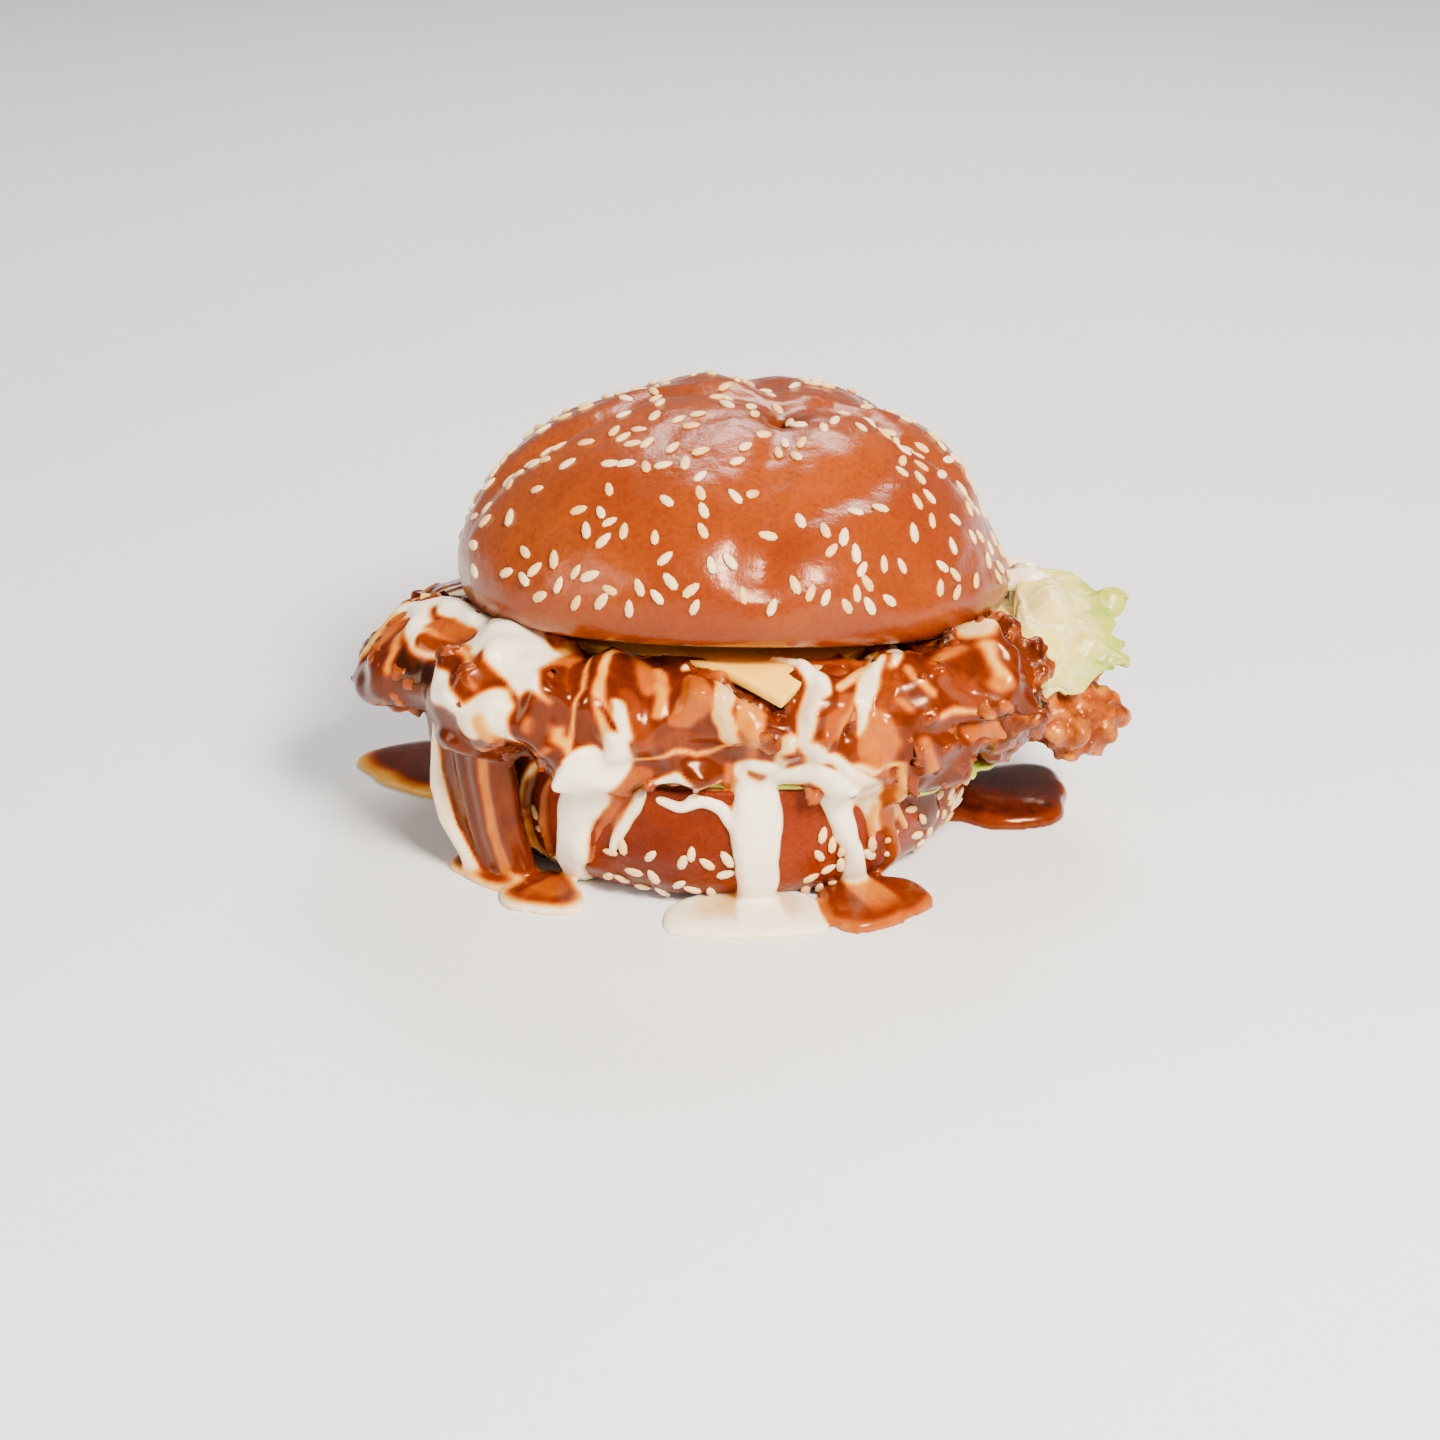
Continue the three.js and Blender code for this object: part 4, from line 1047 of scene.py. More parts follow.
    (0.12, 0.9, [(10, 46, 7), (24, 44, 8), (40, 46, 7)]),
    (0.14, 0.8, [(52, 45, 8), (70, 46, 9), (88, 46, 8)]),
    (0.1, 0.9, [(100, 45, 8), (118, 44, 8), (136, 45, 8)]),
    (0.13, 0.8, [(150, 45, 8), (166, 44, 8), (178, 46, 7)]),
    (0.1, 0.8, [(8, 26, 5), (10, 14, 5), (13, 3, 5)]),
    (0.12, 0.7, [(60, 24, 6), (66, 14, 5), (64, 9, 4)]),
    (0.1, 0.8, [(120, 25, 6), (126, 16, 5), (124, 6, 4)]),
    (0.12, 0.7, [(168, 24, 6), (172, 12, 5), (176, 5, 4)]),
    (1.0, 1.8, [(14, 56, 4), (17, 48, 4), (14, 40, 3), (15, 33, 3)]),
    (1.0, 2.2, [(14, 32, 4), (15, 22, 3.6), (14, 10, 3), (14, 0, 3.4)]),
    (1.0, 1.9, [(38, 56, 5), (44, 50, 5), (48, 42, 3.4), (47, 34, 3)]),
    (1.0, 2.2, [(46, 34, 4), (47, 24, 4), (48, 14, 3), (47, 6, 2.6)]),
    (0.3, 1.3, [(29, 50, 1.6), (31, 42, 2), (30, 34, 2), (31, 26, 1.6), (30, 15, 1.8)]),
    (0.95, 1.4, [(66, 58, 4), (70, 51, 5), (76, 44, 4), (79, 36, 3)]),
    (1.0, 2.0, [(78, 35, 4), (79, 26, 3.6), (80, 18, 2.6), (79, 11, 2.4)]),
    (0.35, 1.2, [(88, 54, 2), (90, 46, 2.4), (88, 38, 2), (90, 28, 1.6)]),
    (0.12, 0.9, [(72, 50, 1.6), (75, 45, 1.3), (77, 39, 1.0)]),
    (1.0, 2.0, [(106, 60, 6), (108, 52, 6), (112, 44, 4.5), (111, 36, 4)]),
    (1.0, 2.4, [(111, 36, 5), (113, 26, 4.4), (112, 14, 3.8), (111, 0, 3.8)]),
    (0.12, 0.8, [(104, 50, 1.8), (108, 45, 1.5), (110, 40, 1.0)]),
    (0.32, 1.3, [(118, 42, 1.3), (119, 30, 1.3), (118, 18, 1.2), (118, 6, 1.2)]),
    (0.9, 1.4, [(132, 58, 4), (136, 50, 4), (141, 42, 3), (146, 36, 2.6)]),
    (1.0, 2.0, [(146, 35, 3.6), (148, 26, 3.4), (149, 16, 2.6), (148, 8, 2.3)]),
    (1.0, 1.9, [(160, 58, 5), (164, 51, 5), (170, 45, 4), (172, 38, 2.6)]),
    (0.14, 0.8, [(163, 52, 1.6), (167, 47, 1.4), (171, 41, 1)]),
    (0.95, 1.5, [(-170, 34, 2), (-169, 24, 2), (-168, 12, 1.8), (-169, 2, 1.8)]),
    (0.3, 1.2, [(180, 30, 2), (179, 18, 1.8), (178, 8, 1.6)]),
]

# Strands that hang clear of the bun, and blobs: tone, then points with their radii
STRANDS = [
    (0.9, [
        (-53.5, -32, 38, 3.2), (-56, -32, 27, 2.0), (-57, -32, 19, 1.6),
        (-55.5, -33, 12, 1.6), (-51.5, -34, 5, 1.8), (-49.5, -34, 0.8, 2.8),
    ]),
    (0.1, [(-57, -25, 36, 3.0), (-56, -25, 24, 2.8), (-53, -26, 12, 2.6), (-50, -27, 1, 3)]),
    (0.12, [(-55.5, -29, 36, 3.0), (-54.5, -29, 24, 2.8), (-52, -29.5, 12, 2.6), (-49, -29.5, 1, 3)]),
    (0.11, [(-53.5, -32.6, 36, 3.0), (-52.5, -32, 24, 3.0), (-50.5, -32, 12, 2.8), (-48, -32, 1, 3)]),
    (0.1, [(-51, -35.6, 36, 3.0), (-50, -35, 24, 3.1), (-48.5, -34.2, 12, 2.9), (-46, -33.5, 1, 3)]),
    (0.14, [(-48, -38, 35, 3.0), (-47.2, -37, 24, 3.2), (-45.8, -36, 12, 3.0), (-43.5, -35, 1, 3)]),
    (0.16, [(-44.8, -39.6, 34, 3.0), (-44, -38.8, 24, 3.2), (-42.8, -37.6, 12, 3.0), (-40.5, -36, 1, 3)]),
    (0.5, [(-46.8, -41, 34, 1.0), (-46.6, -39.6, 24, 0.9), (-45.4, -38.4, 12, 0.9), (-43, -37.4, 2, 1)]),
    (0.97, [(55, 2, 47.5, 2.2), (60, 1, 48.5, 2.6), (64.5, 0, 46.8, 2.0)]),
    (0.95, [(57, 12, 46, 2.0), (61, 12, 46.5, 2.0)]),
]

# Pools under the burger: x, y, half length, half width, depth, turn, the tones of the middle and of
# the rim, and the rim's width
POOLS = [
    (3.5, -49.5, 16, 11.5, 2.6, 6, 1.0, 1.0, 2),
    (27, -46, 11, 10.5, 3.4, 15, 0.2, 0.44, 2),
    (-36, -43, 8.5, 8, 2.4, -40, 0.15, 0.9, 3),
    (56, -3, 16, 12.5, 4.5, 20, 0.06, 0.2, 2),
    (-58, 12, 12.5, 20, 3.4, 95, 0.12, 0.7, 3),
    (-18, 50, 12, 8, 2.6, -15, 1.0, 0.8, 2),
    (-47.5, -33, 9, 6, 1.8, -48, 0.2, 0.75, 2),
]

# Where no sauce lies, round the cheese's front corner and its left one: bearing, way, half width
DRY = [
    [(-96, 62, 4), (-90, 56, 2.6), (-84, 50, 1.6), (-80, 46, 0.8)],
    [(-174, 60, 6), (-170, 52, 4)],
]


def run_depth(bearing, way, run):
    """How deep each place lies inside a run of sauce, in millimetres, from its edge."""
    inside = np.full(bearing.shape, -99.0)
    for (b0, w0, h0), (b1, w1, h1) in zip(run, run[1:]):
        u = turned_from(bearing, b0) * MM_PER_DEGREE
        v = way - w0
        du = turned_from(b1, b0) * MM_PER_DEGREE
        dv = w1 - w0
        share = np.clip((u * du + v * dv) / max(du * du + dv * dv, 1e-6), 0, 1)
        inside = np.maximum(inside, mixed(h0, h1, share) - np.hypot(u - share * du, v - share * dv))
    return inside


def wandered(bearing, way):
    """Shakes the places a little, so that no edge of the sauce is drawn with a ruler."""
    shift_u = np.empty(bearing.shape)
    shift_v = np.empty(bearing.shape)
    for index, (b, w) in enumerate(zip(bearing.ravel() * DEGREE, way.ravel())):
        spot = Vector((math.cos(b) * 8, math.sin(b) * 8, w / 11))
        shift_u.flat[index] = noise.noise(spot) + 0.4 * noise.noise(spot * 2.6)
        shift_v.flat[index] = noise.noise(spot + Vector((9, 4, 7)))
    return bearing + 1.3 * shift_u / MM_PER_DEGREE, way + 1.6 * shift_v


def painted(bearing, way):
    """The tone of the sauce at each place, with the strokes laid one over the other."""
    tone = np.full(bearing.shape, 0.14)
    for shade, _, run in STROKES:
        tone = mixed(tone, shade, smooth(-0.6, 0.7, run_depth(bearing, way, run)))
    return tone


def tube(points_and_radii):
    """A round strand through the points, as overlapping beads along it."""
    beads = []
    for start, end in zip(points_and_radii, points_and_radii[1:]):
        a, b = np.array(start, float), np.array(end, float)
        count = max(2, int(np.linalg.norm(b[:3] - a[:3]) / 0.8))
        for share in np.arange(count + 1) / count:
            x, y, z, radius = mixed(a, b, share)
            bead = ball("bead", 14, 10)
            place_points(bead, unit_points(bead) * radius + np.array([x, y, z]))
            beads.append(bead)
    return joined("strand", beads)


def pool(x, y, long, wide, deep, turn):
    """A flat drop with a full edge and an uneven outline."""
    drop = ball("pool", 64, 32)
    p = unit_points(drop)
    angle, reach = angle_of(p), reach_of(p)
    edge = 1 + 0.12 * np.sin(3 * angle + x) + 0.03 * np.sin(7 * angle + y)
    flat = np.minimum(1, reach) ** 0.7 / np.maximum(reach, 1e-6)
    height = np.maximum(0, p[:, 2]) ** 0.7 * deep
    p = points(p[:, 0] * flat * long * edge, p[:, 1] * flat * wide * edge, height)
    place_points(drop, placed(p, Matrix.Translation((x, y, 0)) @ Matrix.Rotation(turn * DEGREE, 4, "Z")))
    return drop


def sauce_reach(bare, bearing, way, swell):
    """How far out the sauce comes along each ray, and how well it covers the place."""
    filled = blurred(np.maximum(bare, blurred(bare, 2.2)), 0.7)
    dry = bare - HIDDEN
    out = dry
    cover = np.zeros(bare.shape)
    for _, thick, run in STROKES:
        inside = run_depth(bearing, way, run)
        edge = np.minimum(2.2, max(h for _, _, h in run))
        share = np.clip(inside / edge, 0, 1)
        bead = np.sqrt(1 - (1 - share) ** 2)
        cover = np.maximum(cover, share)
        out = np.maximum(out, mixed(dry, filled + thick * (1 + 0.25 * swell), bead))
    for run in DRY:
        wipe = smooth(-0.8, 0.8, run_depth(bearing, way, run))
        cover = cover * (1 - wipe)
        out = mixed(out, dry, wipe)
    return out, cover


def sauce_skin(bodies, slice_of_cheese):
    """The skin as a sheet, which of its vertices are dry, and the reach of the bodies under it."""
    bearing, way, start, heading = skin_frame()
    bare = reached(body_tree(bodies), start, heading)
    swell = np.empty(bare.shape)
    for index, spot in enumerate((start + heading * bare[..., None]).reshape(-1, 3)):
        swell.flat[index] = noise.noise(Vector(spot) / 6)
    out, cover = sauce_reach(bare, *wandered(bearing, way), swell)
    on_cheese = reached(body_tree([slice_of_cheese]), start, heading) > bare - 0.1
    strip = on_cheese & (run_depth(bearing, way, CHEESE_SHOWS) > 0)
    clean = smooth(0.2, 0.6, blurred(strip.astype(float), 0.7))
    cover = cover * (1 - clean)
    out = mixed(out, bare - HIDDEN, clean)
    cover[cover < 0.02] = 0
    out = np.where(cover > 0, blurred(out, 0.5), bare - HIDDEN)
    rows = bearing.shape[0]
    skin, u, v = grid_sheet("sauce", SKIN_COLUMNS, rows - 1)
    column = np.rint((u + 1) / 2 * SKIN_COLUMNS).astype(int) % SKIN_COLUMNS
    row = np.rint((v + 1) / 2 * (rows - 1)).astype(int)
    surface = start + heading * out[..., None]
    surface[..., 2] = np.maximum(surface[..., 2], 0.0)
    place_points(skin, surface[row, column])
    wet = cover > 0
    near = wet.copy()
    for down in (-1, 0, 1):
        for across in (-1, 0, 1):
            near |= np.roll(np.roll(wet, across, 1), down, 0)
    return skin, ~near[row, column], bare


def remove_vertices(piece, gone):
    """Deletes the chosen vertices and what hangs on them."""
    choose(piece)
    bpy.ops.object.mode_set(mode="EDIT")
    bpy.ops.mesh.select_mode(type="VERT")
    bpy.ops.mesh.select_all(action="DESELECT")
    bpy.ops.object.mode_set(mode="OBJECT")
    piece.data.vertices.foreach_set("select", np.asarray(gone, bool))
    bpy.ops.object.mode_set(mode="EDIT")
    bpy.ops.mesh.delete(type="VERT")
    bpy.ops.object.mode_set(mode="OBJECT")


def unrolled(p):
    """Bearing, way and reach of places in space: the reverse of the skin's rays."""
    bearing = angle_of(p) / DEGREE
    side = reach_of(p) - RING_RADIUS
    above = np.maximum(0, p[:, 2] - FAN_START)
    rise = np.arctan2(above, np.maximum(side, 1e-3))
    way = np.where(p[:, 2] > FAN_START, FAN_START + FAN_RADIUS * rise, p[:, 2])
    return bearing, way, np.hypot(side, above) * np.where(side < 0, -1, 1)


def tones_of(p):
    """The sauce's tone at each place: strokes first, then strands, then pools."""
    bearing, way, _ = unrolled(p)
    tone = painted(*wandered(bearing, way))
    for shade, run in STRANDS:
        for start, end in zip(run, run[1:]):
            away, radius = beside(p, start, end)
            tone = mixed(tone, shade, smooth(1.1, 0.2, away - radius))
    for x, y, long, wide, deep, turn, middle, rim, rim_width in POOLS:
        c, s = math.cos(turn * DEGREE), math.sin(turn * DEGREE)
        dx, dy = p[:, 0] - x, p[:, 1] - y
        a, b = (dx * c + dy * s), (-dx * s + dy * c)
        angle = np.arctan2(b / wide, a / long)
        edge = 1 + 0.12 * np.sin(3 * angle + x)
        share = np.hypot(a / long, b / wide) / edge
        inside = (1 - share) * min(long, wide)
        shade = mixed(rim, middle, smooth(0.3, rim_width, inside))
        low = smooth(deep + 1.4, deep * 0.7, p[:, 2]) * smooth(-1.5, -0.5, inside)
        tone = mixed(tone, shade, low)
    return tone


def build_sauce(bodies, slice_of_cheese):
    skin, dry_vertices, bare = sauce_skin(bodies, slice_of_cheese)
    remove_vertices(skin, dry_vertices)
    edit(skin, bpy.ops.mesh.remove_doubles, threshold=1e-5)
    apply(skin, "SOLIDIFY", thickness=SKIN_THICKNESS * MM, offset=-1)
    extra = [tube(run) for _, run in STRANDS] + [pool(*row[:6]) for row in POOLS]
    sauce = joined("sauces", [skin] + extra)
    even_out(sauce, SAUCE_VOXEL, 5)
    p = points_of(sauce)
    p[:, 2] = np.maximum(p[:, 2], 0.02)
    place_points(sauce, p)
    bearing, way, reach = unrolled(p)
    column = np.rint((bearing + 180) / 360 * SKIN_COLUMNS).astype(int) % SKIN_COLUMNS
    row = np.clip(np.rint(way / SKIN_STEP).astype(int), 0, bare.shape[0] - 1)
    remove_vertices(sauce, reach < bare[row, column] - BURIED)
    attribute(sauce, "tone", tones_of(points_of(sauce)))
    return to_frame(sauce)


# Finishes

def linear(r, g, b):
    """A paint's colour, from 0 to 255, as the shader wants it."""
    out = []
    for value in (r, g, b):
        value /= 255
        out.append(value / 12.92 if value <= 0.04045 else ((value + 0.055) / 1.055) ** 2.4)
    return (*out, 1.0)


class Nodes:
    """A tree of shader nodes, filled from left to right."""

    def __init__(self, tree):
        self.tree = tree
        self.column = 0

    def add(self, kind, **settings):
        node = self.tree.nodes.new(kind)
        self.column += 1
        node.location = (self.column * 190, 0)
        for key, value in settings.items():
            setattr(node, key, value)
        return node

    def link(self, out, into):
        self.tree.links.new(out, into)

    def feed(self, socket, value):
        """Sets a socket to a number or a vector, or links it to another node's output."""
        if isinstance(value, (int, float, tuple)):
            socket.default_value = value
        else:
            self.link(value, socket)

    def fill(self, node, **values):
        """Feeds a node's sockets by name, with _ for a space."""
        for key, value in values.items():
            self.feed(node.inputs[key.replace("_", " ")], value)

    def noise(self, place, frequency, detail=4.0, roughness=0.55, distortion=0.0):
        node = self.add("ShaderNodeTexNoise")
        self.fill(node, Vector=place, Scale=frequency, Detail=detail)
        self.fill(node, Roughness=roughness, Distortion=distortion)
        return node.outputs["Fac"]

    def math(self, operation, a, b=None, clamp=False):
        node = self.add("ShaderNodeMath", operation=operation, use_clamp=clamp)
        self.feed(node.inputs[0], a)
        if b is not None:
            self.feed(node.inputs[1], b)
        return node.outputs[0]

    def ranged(self, value, low, high, to_low=0.0, to_high=1.0):
        node = self.add("ShaderNodeMapRange")
        self.fill(node, Value=value, From_Min=low, From_Max=high, To_Min=to_low, To_Max=to_high)
        return node.outputs["Result"]

    def bump(self, height, strength, depth, below=None):
        node = self.add("ShaderNodeBump")
        self.fill(node, Height=height, Strength=strength, Distance=depth * MM)
        if below is not None:
            self.fill(node, Normal=below)
        return node.outputs["Normal"]


def effect(name, takes, gives, kind):
    """A node group with a place and named numbers as inputs and one output, and its nodes."""
    group = bpy.data.node_groups.new(name, "ShaderNodeTree")
    group.interface.new_socket("Place", in_out="INPUT", socket_type="NodeSocketVector")
    for label in takes:
        group.interface.new_socket(label, in_out="INPUT", socket_type="NodeSocketFloat")
    group.interface.new_socket(gives, in_out="OUTPUT", socket_type=kind)
    inside = Nodes(group)
    return group, inside, inside.add("NodeGroupInput").outputs, inside.add("NodeGroupOutput").inputs


def mottle_effect():
    """Soft patches: how far each place belongs to them."""
    takes = ("Frequency", "From", "To", "Low", "High")
    group, inside, given, result = effect("soft_mottle", takes, "Share", "NodeSocketFloat")
    spots = inside.noise(given["Place"], given["Frequency"])
    share = inside.ranged(spots, given["From"], given["To"], given["Low"], given["High"])
    inside.link(share, result["Share"])
    return group


def relief_effect():
    """Fine and broad unevenness of a food's skin, as a normal."""
    takes = ("Fine Frequency", "Fine", "Broad Frequency", "Broad")
    group, inside, given, result = effect("uneven_skin", takes, "Normal", "NodeSocketVector")
    fine = inside.bump(inside.noise(given["Place"], given["Fine Frequency"], 4.0, 0.62), given["Fine"], 0.3)
    swell = inside.noise(given["Place"], given["Broad Frequency"], 3.0)
    broad = inside.bump(swell, given["Broad"], 1.0, fine)
    inside.link(broad, result["Normal"])
    return group


MOTTLE = mottle_effect()
RELIEF = relief_effect()


class Finish(Nodes):
    """A material and its nodes."""

    def __init__(self, name):
        self.material = bpy.data.materials.new(name)
        self.material.use_nodes = True
        super().__init__(self.material.node_tree)
        self.tree.nodes.clear()
        self.shader = self.add("ShaderNodeBsdfPrincipled")
        output = self.add("ShaderNodeOutputMaterial")
        self.link(self.shader.outputs["BSDF"], output.inputs["Surface"])
        self.place = self.add("ShaderNodeTexCoord").outputs["Object"]

    def done(self, **values):
        """Feeds the shader's own sockets and gives the material."""
        self.fill(self.shader, **values)
        return self.material

    def use(self, group, **values):
        node = self.add("ShaderNodeGroup", node_tree=group)
        self.fill(node, Place=self.place, **values)
        return node.outputs[0]

    def mottle(self, size, start, end, low=0.0, high=1.0):
        return self.use(MOTTLE, Frequency=1 / (size * MM), From=start, To=end, Low=low, High=high)

    def relief(self, fine_size, fine, broad_size, broad):
        finer, broader = 1 / (fine_size * MM), 1 / (broad_size * MM)
        return self.use(RELIEF, Fine_Frequency=finer, Fine=fine, Broad_Frequency=broader, Broad=broad)

    def cell_edges(self, size):
        node = self.add("ShaderNodeTexVoronoi", feature="DISTANCE_TO_EDGE")
        self.fill(node, Vector=self.place, Scale=1 / (size * MM))
        return node.outputs["Distance"]

    def drawn_down(self, share):
        """The places with their height shrunk, so that what lies on them is drawn out downwards."""
        node = self.add("ShaderNodeMapping")
        self.fill(node, Vector=self.place, Scale=(1, 1, share))
        return node.outputs["Vector"]

    def value_of(self, name):
        return self.add("ShaderNodeAttribute", attribute_name=name).outputs["Fac"]

    def ramp(self, value, stops):
        node = self.add("ShaderNodeValToRGB")
        self.fill(node, Fac=value)
        elements = node.color_ramp.elements
        while len(elements) < len(stops):
            elements.new(0.5)
        for element, (position, colour) in zip(elements, stops):
            element.position = position
            element.color = linear(*colour)
        return node.outputs["Color"]

    def mix(self, share, a, b):
        node = self.add("ShaderNodeMix", data_type="RGBA")
        self.feed(node.inputs[0], share)
        for socket, value in ((node.inputs[6], a), (node.inputs[7], b)):
            self.feed(socket, linear(*value) if isinstance(value, tuple) else value)
        return node.outputs[2]


def crust_finish(name, pale, deep, speckle, grit, shine):
    """Baked dough: golden patches, darker speckles, painted shade low down on the bun and round the knot's
    dimple, and pale crumb where it is cut.
    """
    f = Finish(name)
    gold = f.mix(f.mottle(26, 0.36, 0.64), deep, pale)
    # Painted shade low down on the bun: the crust is mixed towards dark brown there.
    gold = f.mix(f.value_of("low_shade"), gold, (100, 29, 1))
    speckled = f.mix(f.mottle(1.1, 0.45, 0.7, 0.0, 0.45), gold, speckle)
    # Painted shade: the crust is darkened round the knot's dimple.
    knot = f.mix(f.math("MULTIPLY", f.value_of("knot"), 0.7), speckled, (76, 20, 1))
    crumb = f.ramp(f.noise(f.place, 1 / (2.4 * MM), 5, 0.7), [
        (0.3, (150, 82, 30)), (0.55, (214, 156, 84)), (0.75, (232, 190, 124)),
    ])
    cut = f.value_of("crumb")
    return f.done(
        Base_Color=f.mix(cut, knot, crumb),
        Roughness=f.math("ADD", f.mottle(6, 0.3, 0.7, 0.2, 0.3), f.math("MULTIPLY", cut, 0.4)),
        Normal=f.relief(0.9, grit, 5, 0.22),
        Specular_IOR_Level=shine,
        Specular_Tint=(1.0, 0.6, 0.4, 1.0),
        Subsurface_Weight=0.05,
        Subsurface_Scale=0.002,
    )


def seed_finish():
    f = Finish("sesame_seed")
    tint = f.ramp(f.value_of("shade"), [
        (0.0, (232, 180, 104)), (0.5, (242, 208, 146)), (1.0, (248, 226, 180)),
    ])
    return f.done(
        Base_Color=f.mix(f.mottle(0.7, 0.4, 0.7, 0.0, 0.3), tint, (210, 146, 66)),
        Roughness=0.45,
        Normal=f.relief(0.35, 0.2, 2, 0.0),
        Subsurface_Weight=0.15,
        Subsurface_Scale=0.0008,
    )


def chicken_finish():
    f = Finish("glazed_batter")
    ridge = f.ranged(f.value_of("ridge"), -0.8, 0.9)
    # Painted shade and light: near black in the clefts, golden on the crag tops.
    glaze_with_cleft_shade = f.ramp(ridge, [
        (0.0, (44, 10, 1)), (0.35, (110, 36, 1)), (0.65, (162, 72, 2)), (1.0, (208, 122, 14)),
    ])
    dark = f.mix(f.mottle(9, 0.44, 0.62, 0.0, 0.7), glaze_with_cleft_shade, (108, 34, 2))
    return f.done(
        Base_Color=f.mix(f.mottle(3.2, 0.54, 0.74, 0.0, 0.6), dark, (198, 104, 10)),
        Roughness=f.mottle(3.5, 0.35, 0.7, 0.14, 0.42),
        Normal=f.relief(0.8, 0.25, 2.6, 0.35),
        Specular_IOR_Level=0.5,
        Specular_Tint=(1.0, 0.55, 0.32, 1.0),
        Subsurface_Weight=0.03,
        Subsurface_Scale=0.001,
    )


def sauce_finish():
    f = Finish("white_and_brown_sauce")
    streak = f.noise(f.drawn_down(0.4), 1 / (5.5 * MM), 3, 0.55, 1.6)
    fine = f.noise(f.drawn_down(0.35), 1 / (1.9 * MM), 3, 0.6, 1.0)
    tone = f.math("ADD", f.value_of("tone"), f.math("MULTIPLY", f.math("SUBTRACT", streak, 0.5), 0.2))
    tone = f.math("ADD", tone, f.math("MULTIPLY", f.math("SUBTRACT", fine, 0.5), 0.1), clamp=True)
    tint = f.ramp(tone, [
        (0.0, (38, 8, 1)), (0.14, (84, 23, 1)), (0.28, (122, 42, 1)), (0.42, (162, 72, 1)),
        (0.55, (194, 110, 2)), (0.7, (216, 156, 52)), (0.86, (230, 202, 160)), (1.0, (255, 241, 212)),
    ])
    return f.done(
        Base_Color=tint,
        Roughness=0.2,
        Normal=f.relief(6, 0.05, 9, 0.2),
        Specular_IOR_Level=0.42,
        Specular_Tint=(1.0, 0.6, 0.36, 1.0),
        Subsurface_Weight=0.05,
        Subsurface_Scale=0.001,
    )


def cheese_finish():
    f = Finish("processed_cheese")
    return f.done(
        Base_Color=f.mix(f.mottle(14, 0.35, 0.65), (255, 184, 44), (255, 200, 72)),
        Roughness=f.mottle(6, 0.3, 0.7, 0.3, 0.44),
        Normal=f.relief(0.6, 0.04, 4, 0.12),
        Specular_IOR_Level=0.4,
        Specular_Tint=(1.0, 0.8, 0.5, 1.0),
        Subsurface_Weight=0.25,
        Subsurface_Scale=0.003,
    )


def lettuce_finish():
    f = Finish("lettuce")
    pale = f.mix(f.mottle(9, 0.36, 0.64), (244, 216, 122), (228, 204, 84))
    veins = f.ranged(f.cell_edges(6.5), 0.0, 0.12, 1.0, 0.0)
    leafy = f.mix(f.math("MULTIPLY", veins, 0.5), pale, (248, 238, 190))
    edge = f.math("MULTIPLY", f.value_of("margin"), f.mottle(5, 0.3, 0.6, 0.55, 1.0), clamp=True)
    green = f.mix(f.mottle(3, 0.2, 0.8), (172, 188, 10), (126, 160, 6))
    return f.done(
        Base_Color=f.mix(edge, leafy, green),
        Roughness=f.mottle(5, 0.3, 0.7, 0.26, 0.42),
        Normal=f.bump(veins, 0.35, 0.5, f.relief(2, 0.4, 6, 0.2)),
        Specular_IOR_Level=0.5,
        Subsurface_Weight=0.3,
        Subsurface_Scale=0.002,
    )


def clad(piece, material, slot, *nodes):
    """Gives a piece its finish and its body, and hides the imported parts that it stands for. The slot is
    not used.
    """
    piece.data.materials.clear()
    piece.data.materials.append(material)
    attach(piece, "root")
    if nodes:
        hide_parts(*nodes)


bpy.ops.object.select_all(action="DESELECT")
crown = build_crown()
crown_seeds = lay_seeds("bun_crown_seeds", crown_point, crown_seed_places(), CROWN_PLACE)
heel = build_heel()
heel_seeds = lay_seeds("bun_heel_seeds", heel_point, heel_seed_places(), Matrix.Identity(4))
cheese = build_cheese()
lower_leaf = build_lower_leaf()
upper_leaf = build_upper_leaf()
fillet = build_fillet(body_tree([crown, cheese, upper_leaf]))
sauce = build_sauce([fillet, heel, cheese, lower_leaf], cheese)

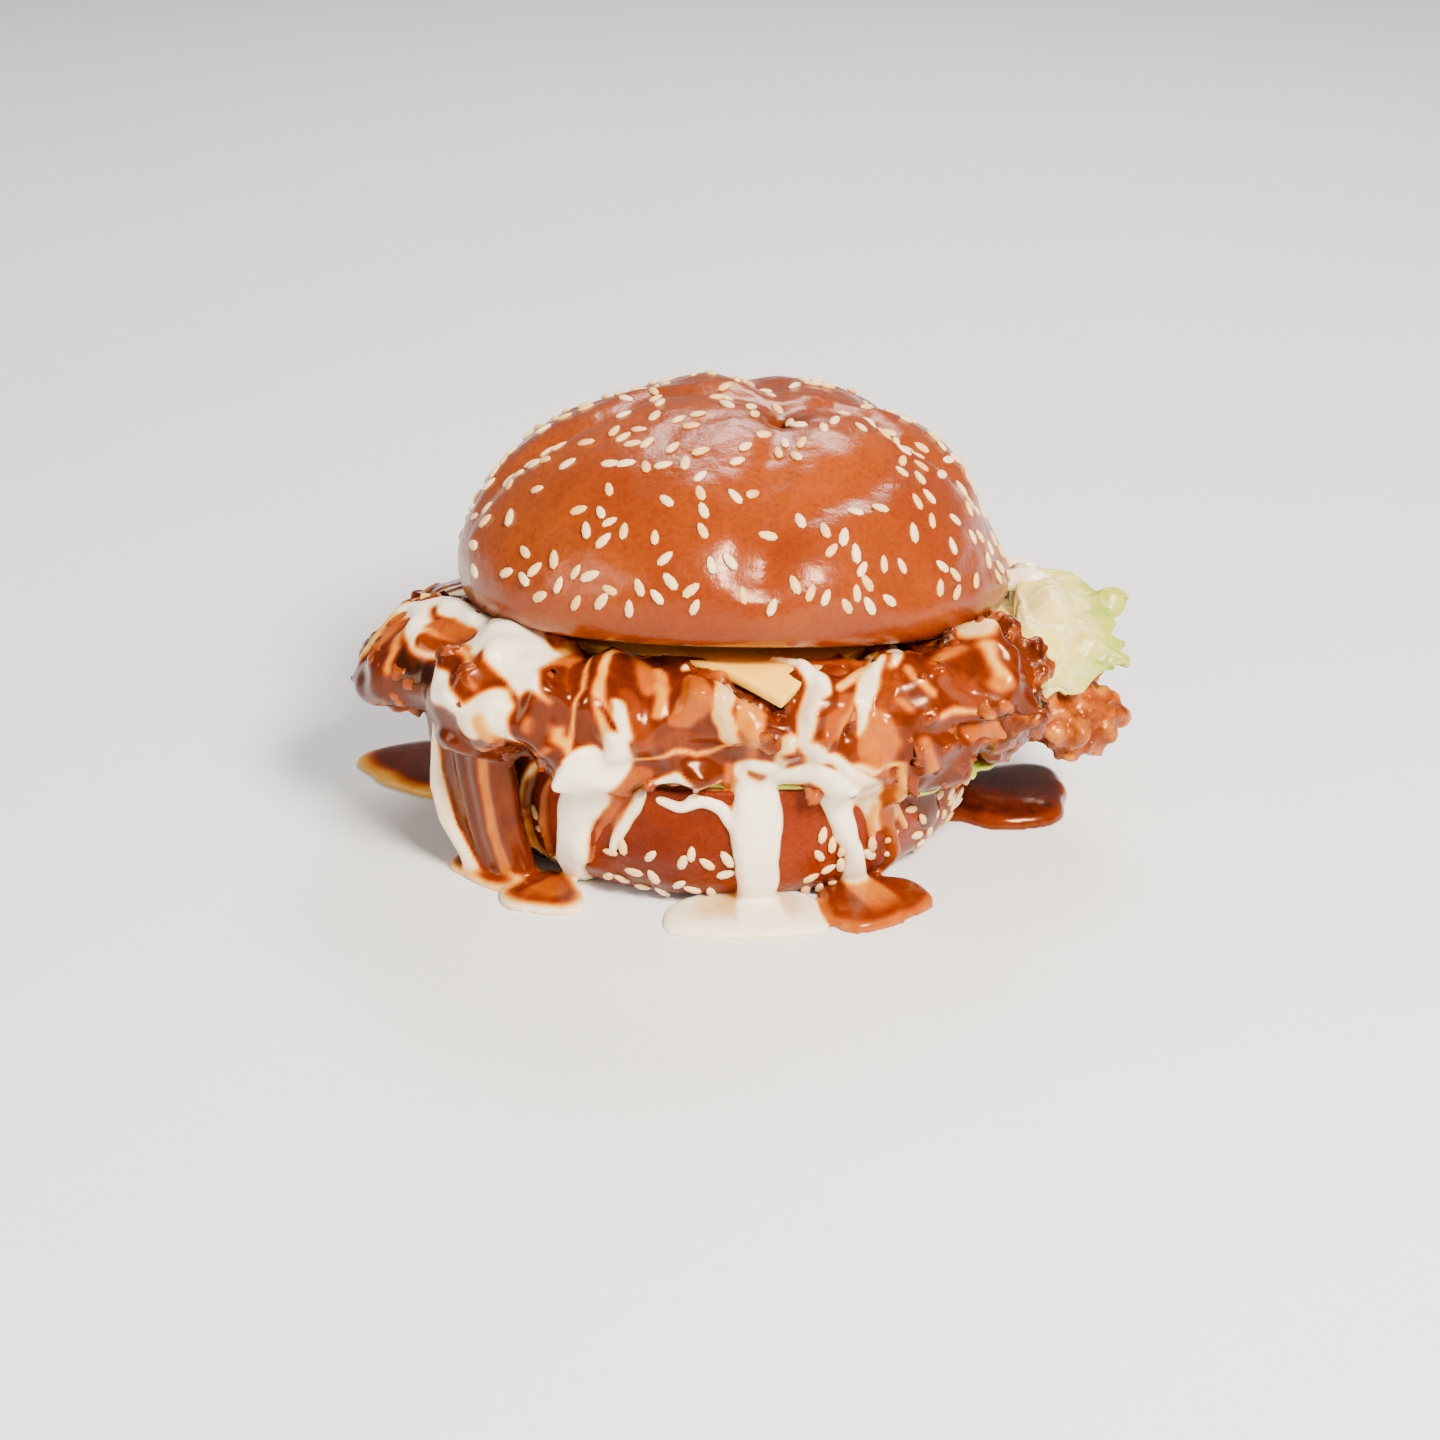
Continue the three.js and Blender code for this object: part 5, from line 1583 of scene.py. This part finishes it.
glazed = crust_finish("egg_washed_crust", (146, 60, 2), (126, 45, 1), (98, 28, 1), 0.22, 0.5)
baked = crust_finish("baked_crust", (126, 36, 1), (90, 20, 1), (70, 13, 1), 0.9, 0.26)
seed = seed_finish()
lettuce = lettuce_finish()
clad(crown, glazed, "bun_crust", "crown")
clad(crown_seeds, seed, "sesame_seed")
clad(heel, baked, "bun_crust", "heel")
clad(heel_seeds, seed, "sesame_seed")
clad(cheese, cheese_finish(), "cheese", "cheese_slice")
clad(lower_leaf, lettuce, "lettuce", "lettuce_leaf_lower")
clad(upper_leaf, lettuce, "lettuce", "lettuce_leaf_upper")
clad(fillet, chicken_finish(), "fried_chicken", "chicken_fillet")
clad(sauce, sauce_finish(), "white_sauce")

# The floor, the light and the camera

bpy.ops.object.select_all(action="DESELECT")
bpy.ops.mesh.primitive_plane_add(size=24, location=(0, 0, 0))
floor = fresh("floor")
paint = Finish("pale_floor")
pale = paint.mix(paint.mottle(60, 0.2, 0.8), (240, 239, 237), (243, 242, 240))
floor.data.materials.append(paint.done(Base_Color=pale, Roughness=0.6))

# Soft lights, all aimed at the burger: place, size across and high, power, colour. In metres and watts
LIGHT_AIM = Vector((0.0, 0.0, 0.05))
LIGHTS = [
    ("key", (0.36, -0.6, 0.66), 0.24, 0.24, 28, (1.0, 0.93, 0.84)),
    ("left", (-0.8, -0.45, 0.35), 0.5, 0.5, 5, (1.0, 0.97, 0.93)),
    ("back", (0.12, 0.66, 0.78), 0.5, 0.2, 8, (1.0, 0.97, 0.94)),
]
for name, at, across, high, power, tint in LIGHTS:
    bpy.ops.object.light_add(type="AREA", location=at)
    lamp = bpy.context.active_object
    lamp.name = name
    lamp.rotation_euler = (LIGHT_AIM - Vector(at)).to_track_quat("-Z", "Y").to_euler()
    lamp.data.shape = "RECTANGLE"
    lamp.data.size = across
    lamp.data.size_y = high
    lamp.data.energy = power
    lamp.data.color = tint

SKY_STRENGTH = 0.3
world = bpy.data.worlds.new("studio")
bpy.context.scene.world = world
world.use_nodes = True
sky = world.node_tree.nodes["Background"]
sky.inputs["Color"].default_value = (1.0, 1.0, 1.0, 1.0)
sky.inputs["Strength"].default_value = SKY_STRENGTH

# The camera's place, in millimetres, how far it looks down, in degrees, and its lens
CAMERA_PLACE = (BUN_AXIS_X - 2, BUN_AXIS_Y - 500, 258)
CAMERA_PITCH = 25.7
CAMERA_LENS = 67.5
camera_at = [value * MM for value in CAMERA_PLACE]
bpy.ops.object.camera_add(location=camera_at, rotation=((90 - CAMERA_PITCH) * DEGREE, 0, 0))
camera = bpy.context.active_object
camera.data.sensor_width = 36
camera.data.lens = CAMERA_LENS
camera.data.clip_start = 0.01
bpy.context.scene.camera = camera
